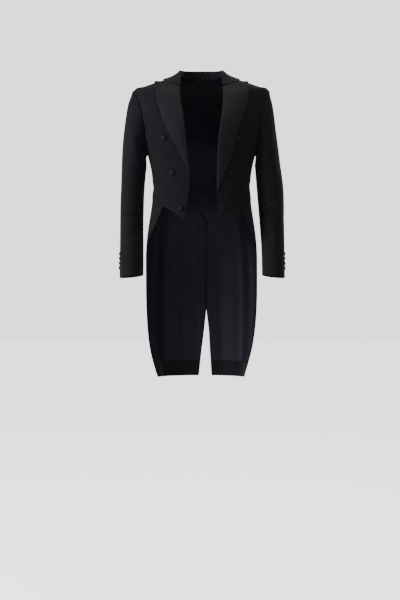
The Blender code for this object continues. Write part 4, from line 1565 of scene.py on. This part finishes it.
def picked(line, lift, side):
    """A path of stitches on the cloth that point along a line of (turn, run)."""
    points = lifted(line[:, 0], line[:, 1], lift, side)
    return points, ways(points)


def lapel_line(side):
    """Line of (turn, run) just inside a lapel's outer edge, and the cloth's lift there."""
    grid = lapel_grid(side)
    far = lengths(form(grid[..., 0], grid[..., 1]), 0)
    j = np.arange(grid.shape[1])
    at = np.array([np.interp(far[-1, k] - EDGE_IN, far[:, k], np.arange(len(far))) for k in j])
    i = np.clip(at.astype(int), 0, len(grid) - 2)
    share = (at - i)[:, None]
    line = grid[i, j] * (1 - share) + grid[i + 1, j] * share
    return line[4:-2], lapel_lift(grid)[i, j][4:-2]


rows = []
for side in SIDES.values():
    line, lift = lapel_line(side)
    rows.append(picked(line, lift + THREAD_LIFT, side))
    z = np.linspace(CUTAWAY[side][0][1] + 0.004, LAPEL_END[side], 60)
    rows.append(picked(spot(front_x(z, side) + EDGE_IN, z), 0.0, side))
    cut = spot(*(np.array(CUTAWAY[side]) + (0.0, CUTAWAY_IN)).T)
    rows.append(picked(bow(cut, 50), 0.0, side))
PIECES["edge_thread"] = thread("thread_edges", rows, *EDGE_STITCH)
print("picked edges:", len(rows))


# %% Buttonholes
HOLE_STITCH = (0.00062, 0.0019, 0.00050)
# Ends of the lapel's buttonhole, x and z, its width, and its height over the front
LAPEL_HOLE = [(0.103, -0.0400), (0.139, -0.0405)]
LAPEL_HOLE_WIDTH = 0.0014
LAPEL_HOLE_LIFT = LAPEL_GAP + SILK + LAPEL_SPRING + CHEST_SPRING + 0.0003
# A cuff's buttonholes: degrees before and past the button, and width
CUFF_HOLE = (4, 14)
CUFF_HOLE_WIDTH = 0.0010


def hole(points, normal, wide):
    """Both sides of a buttonhole along a line of points, with stitches across it."""
    across = np.cross(ways(points), normal)
    return [(points + across * wide * s, across) for s in (-0.5, 0.5)]


line = spot(*np.linspace(*LAPEL_HOLE, 12).T)
points = lifted(line[:, 0], line[:, 1], LAPEL_HOLE_LIFT, 1)
holes = hole(points, outward(line[:, 0], line[:, 1]), LAPEL_HOLE_WIDTH)
for (word, number), (angle, along) in CUFF_SPOTS.items():
    angles = np.linspace(angle - CUFF_HOLE[0], angle + CUFF_HOLE[1], 8)
    holes += hole(*sleeve_point(angles, along, SIDES[word], THREAD_LIFT), CUFF_HOLE_WIDTH)
PIECES["buttonhole_thread"] = thread("thread_buttonholes", holes, *HOLE_STITCH)
print("thread faces:", sum(len(PIECES[k].data.polygons) for k in PIECES if "thread" in k))

# %% [markdown]
# ## Handing the pieces to the frame
#
# Each shell replaces its solid and rides on the only body. The shell maker works out each cloth's
# flat size, as a cutter would lay it out, but nothing keeps it.

# %% Riding and replacing
for name, piece in PIECES.items():
    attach(piece, "root")
    if name in frame["nodes"]:
        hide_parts(name)
print("solids with no shell:", [n for n in frame["nodes"] if n not in PIECES])
print("triangles:", sum(len(p.data.loop_triangles) or 2 * len(p.data.polygons)
                        for p in PIECES.values()))

# %% [markdown]
# ## Floor and light
#
# Black cloth needs large soft lights to show its form. The strongest is in front and to the
# picture's left, so that the wearer's right side is the lighter one. The floor and the air look
# white, as a bright paper backdrop does, but they shed little light on the coat: a Light Path node
# gives the camera the bright value and the cloth the dim one.

# %% Air
# Strength of the backdrop for the camera, and for the cloth
SEEN = 2.0
SHED = 0.21


def seen_or_shed(tree):
    """A strength that is bright for the camera and dim for the cloth."""
    seen = add_node(tree, "ShaderNodeLightPath").outputs["Is Camera Ray"]
    steps = {"operation": "MULTIPLY_ADD"}
    return add_node(tree, "ShaderNodeMath", steps, {0: seen, 1: SEEN - SHED, 2: SHED}).outputs[0]


air = bpy.data.worlds.new("air")
air.use_nodes = True
shine = air.node_tree.nodes["Background"]
shine.inputs["Color"].default_value = (1, 1, 1, 1)
air.node_tree.links.new(seen_or_shed(air.node_tree), shine.inputs["Strength"])
bpy.context.scene.world = air
print("backdrop:", SEEN, "for the camera,", SHED, "for the cloth")

# %% Floor
FLOOR_Z = -1.673
FLOOR_REACH = 20
ends = [(-1, -1), (1, -1), (1, 1), (-1, 1)]
floor_mesh = bpy.data.meshes.new("floor")
floor_mesh.from_pydata(
    [(x * FLOOR_REACH, y * FLOOR_REACH, FLOOR_Z) for x, y in ends], [], [(0, 1, 2, 3)])
floor = bpy.data.objects.new("floor", floor_mesh)
bpy.context.scene.collection.objects.link(floor)
pale = bpy.data.materials.new("pale_floor")
pale.use_nodes = True
board = pale.node_tree.nodes["Principled BSDF"]
board.inputs["Base Color"].default_value = (0.90, 0.90, 0.90, 1)
board.inputs["Roughness"].default_value = 0.9
board.inputs["Emission Color"].default_value = (1, 1, 1, 1)
pale.node_tree.links.new(seen_or_shed(pale.node_tree), board.inputs["Emission Strength"])
floor_mesh.materials.append(pale)
floor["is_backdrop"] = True
print("floor at", FLOOR_Z)

# %% Lights
# place, aim, size in metres, power in watts
LIGHTS = {
    "key": ((-3.1, -1.4, 0.6), (0, 0, -0.35), 1.8, 124),
    "fill": ((2.6, -2.4, 0.2), (0, 0, -0.4), 2.4, 3),
    "top": ((0.2, -0.8, 2.4), (0, 0, -0.2), 1.6, 44),
    "rim": ((1.2, 2.4, 1.6), (0, 0, -0.3), 1.8, 30),
}
for name, (place, aim, size, power) in LIGHTS.items():
    lamp = bpy.data.lights.new(name, "AREA")
    lamp.size = size
    lamp.energy = power
    made = bpy.data.objects.new(name, lamp)
    made.location = place
    way = np.array(aim, float) - place
    made.rotation_euler = (math.acos(-way[2] / np.linalg.norm(way)), 0,
                           math.atan2(way[1], way[0]) - math.pi / 2)
    bpy.context.scene.collection.objects.link(made)
print("lights:", list(LIGHTS))

# %% The box
seen_box = [list(corner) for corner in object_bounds()]
growth = np.array(seen_box) - np.array(cad_box)
print("box grows by, mm:", np.round(growth * 1000, 1).tolist())
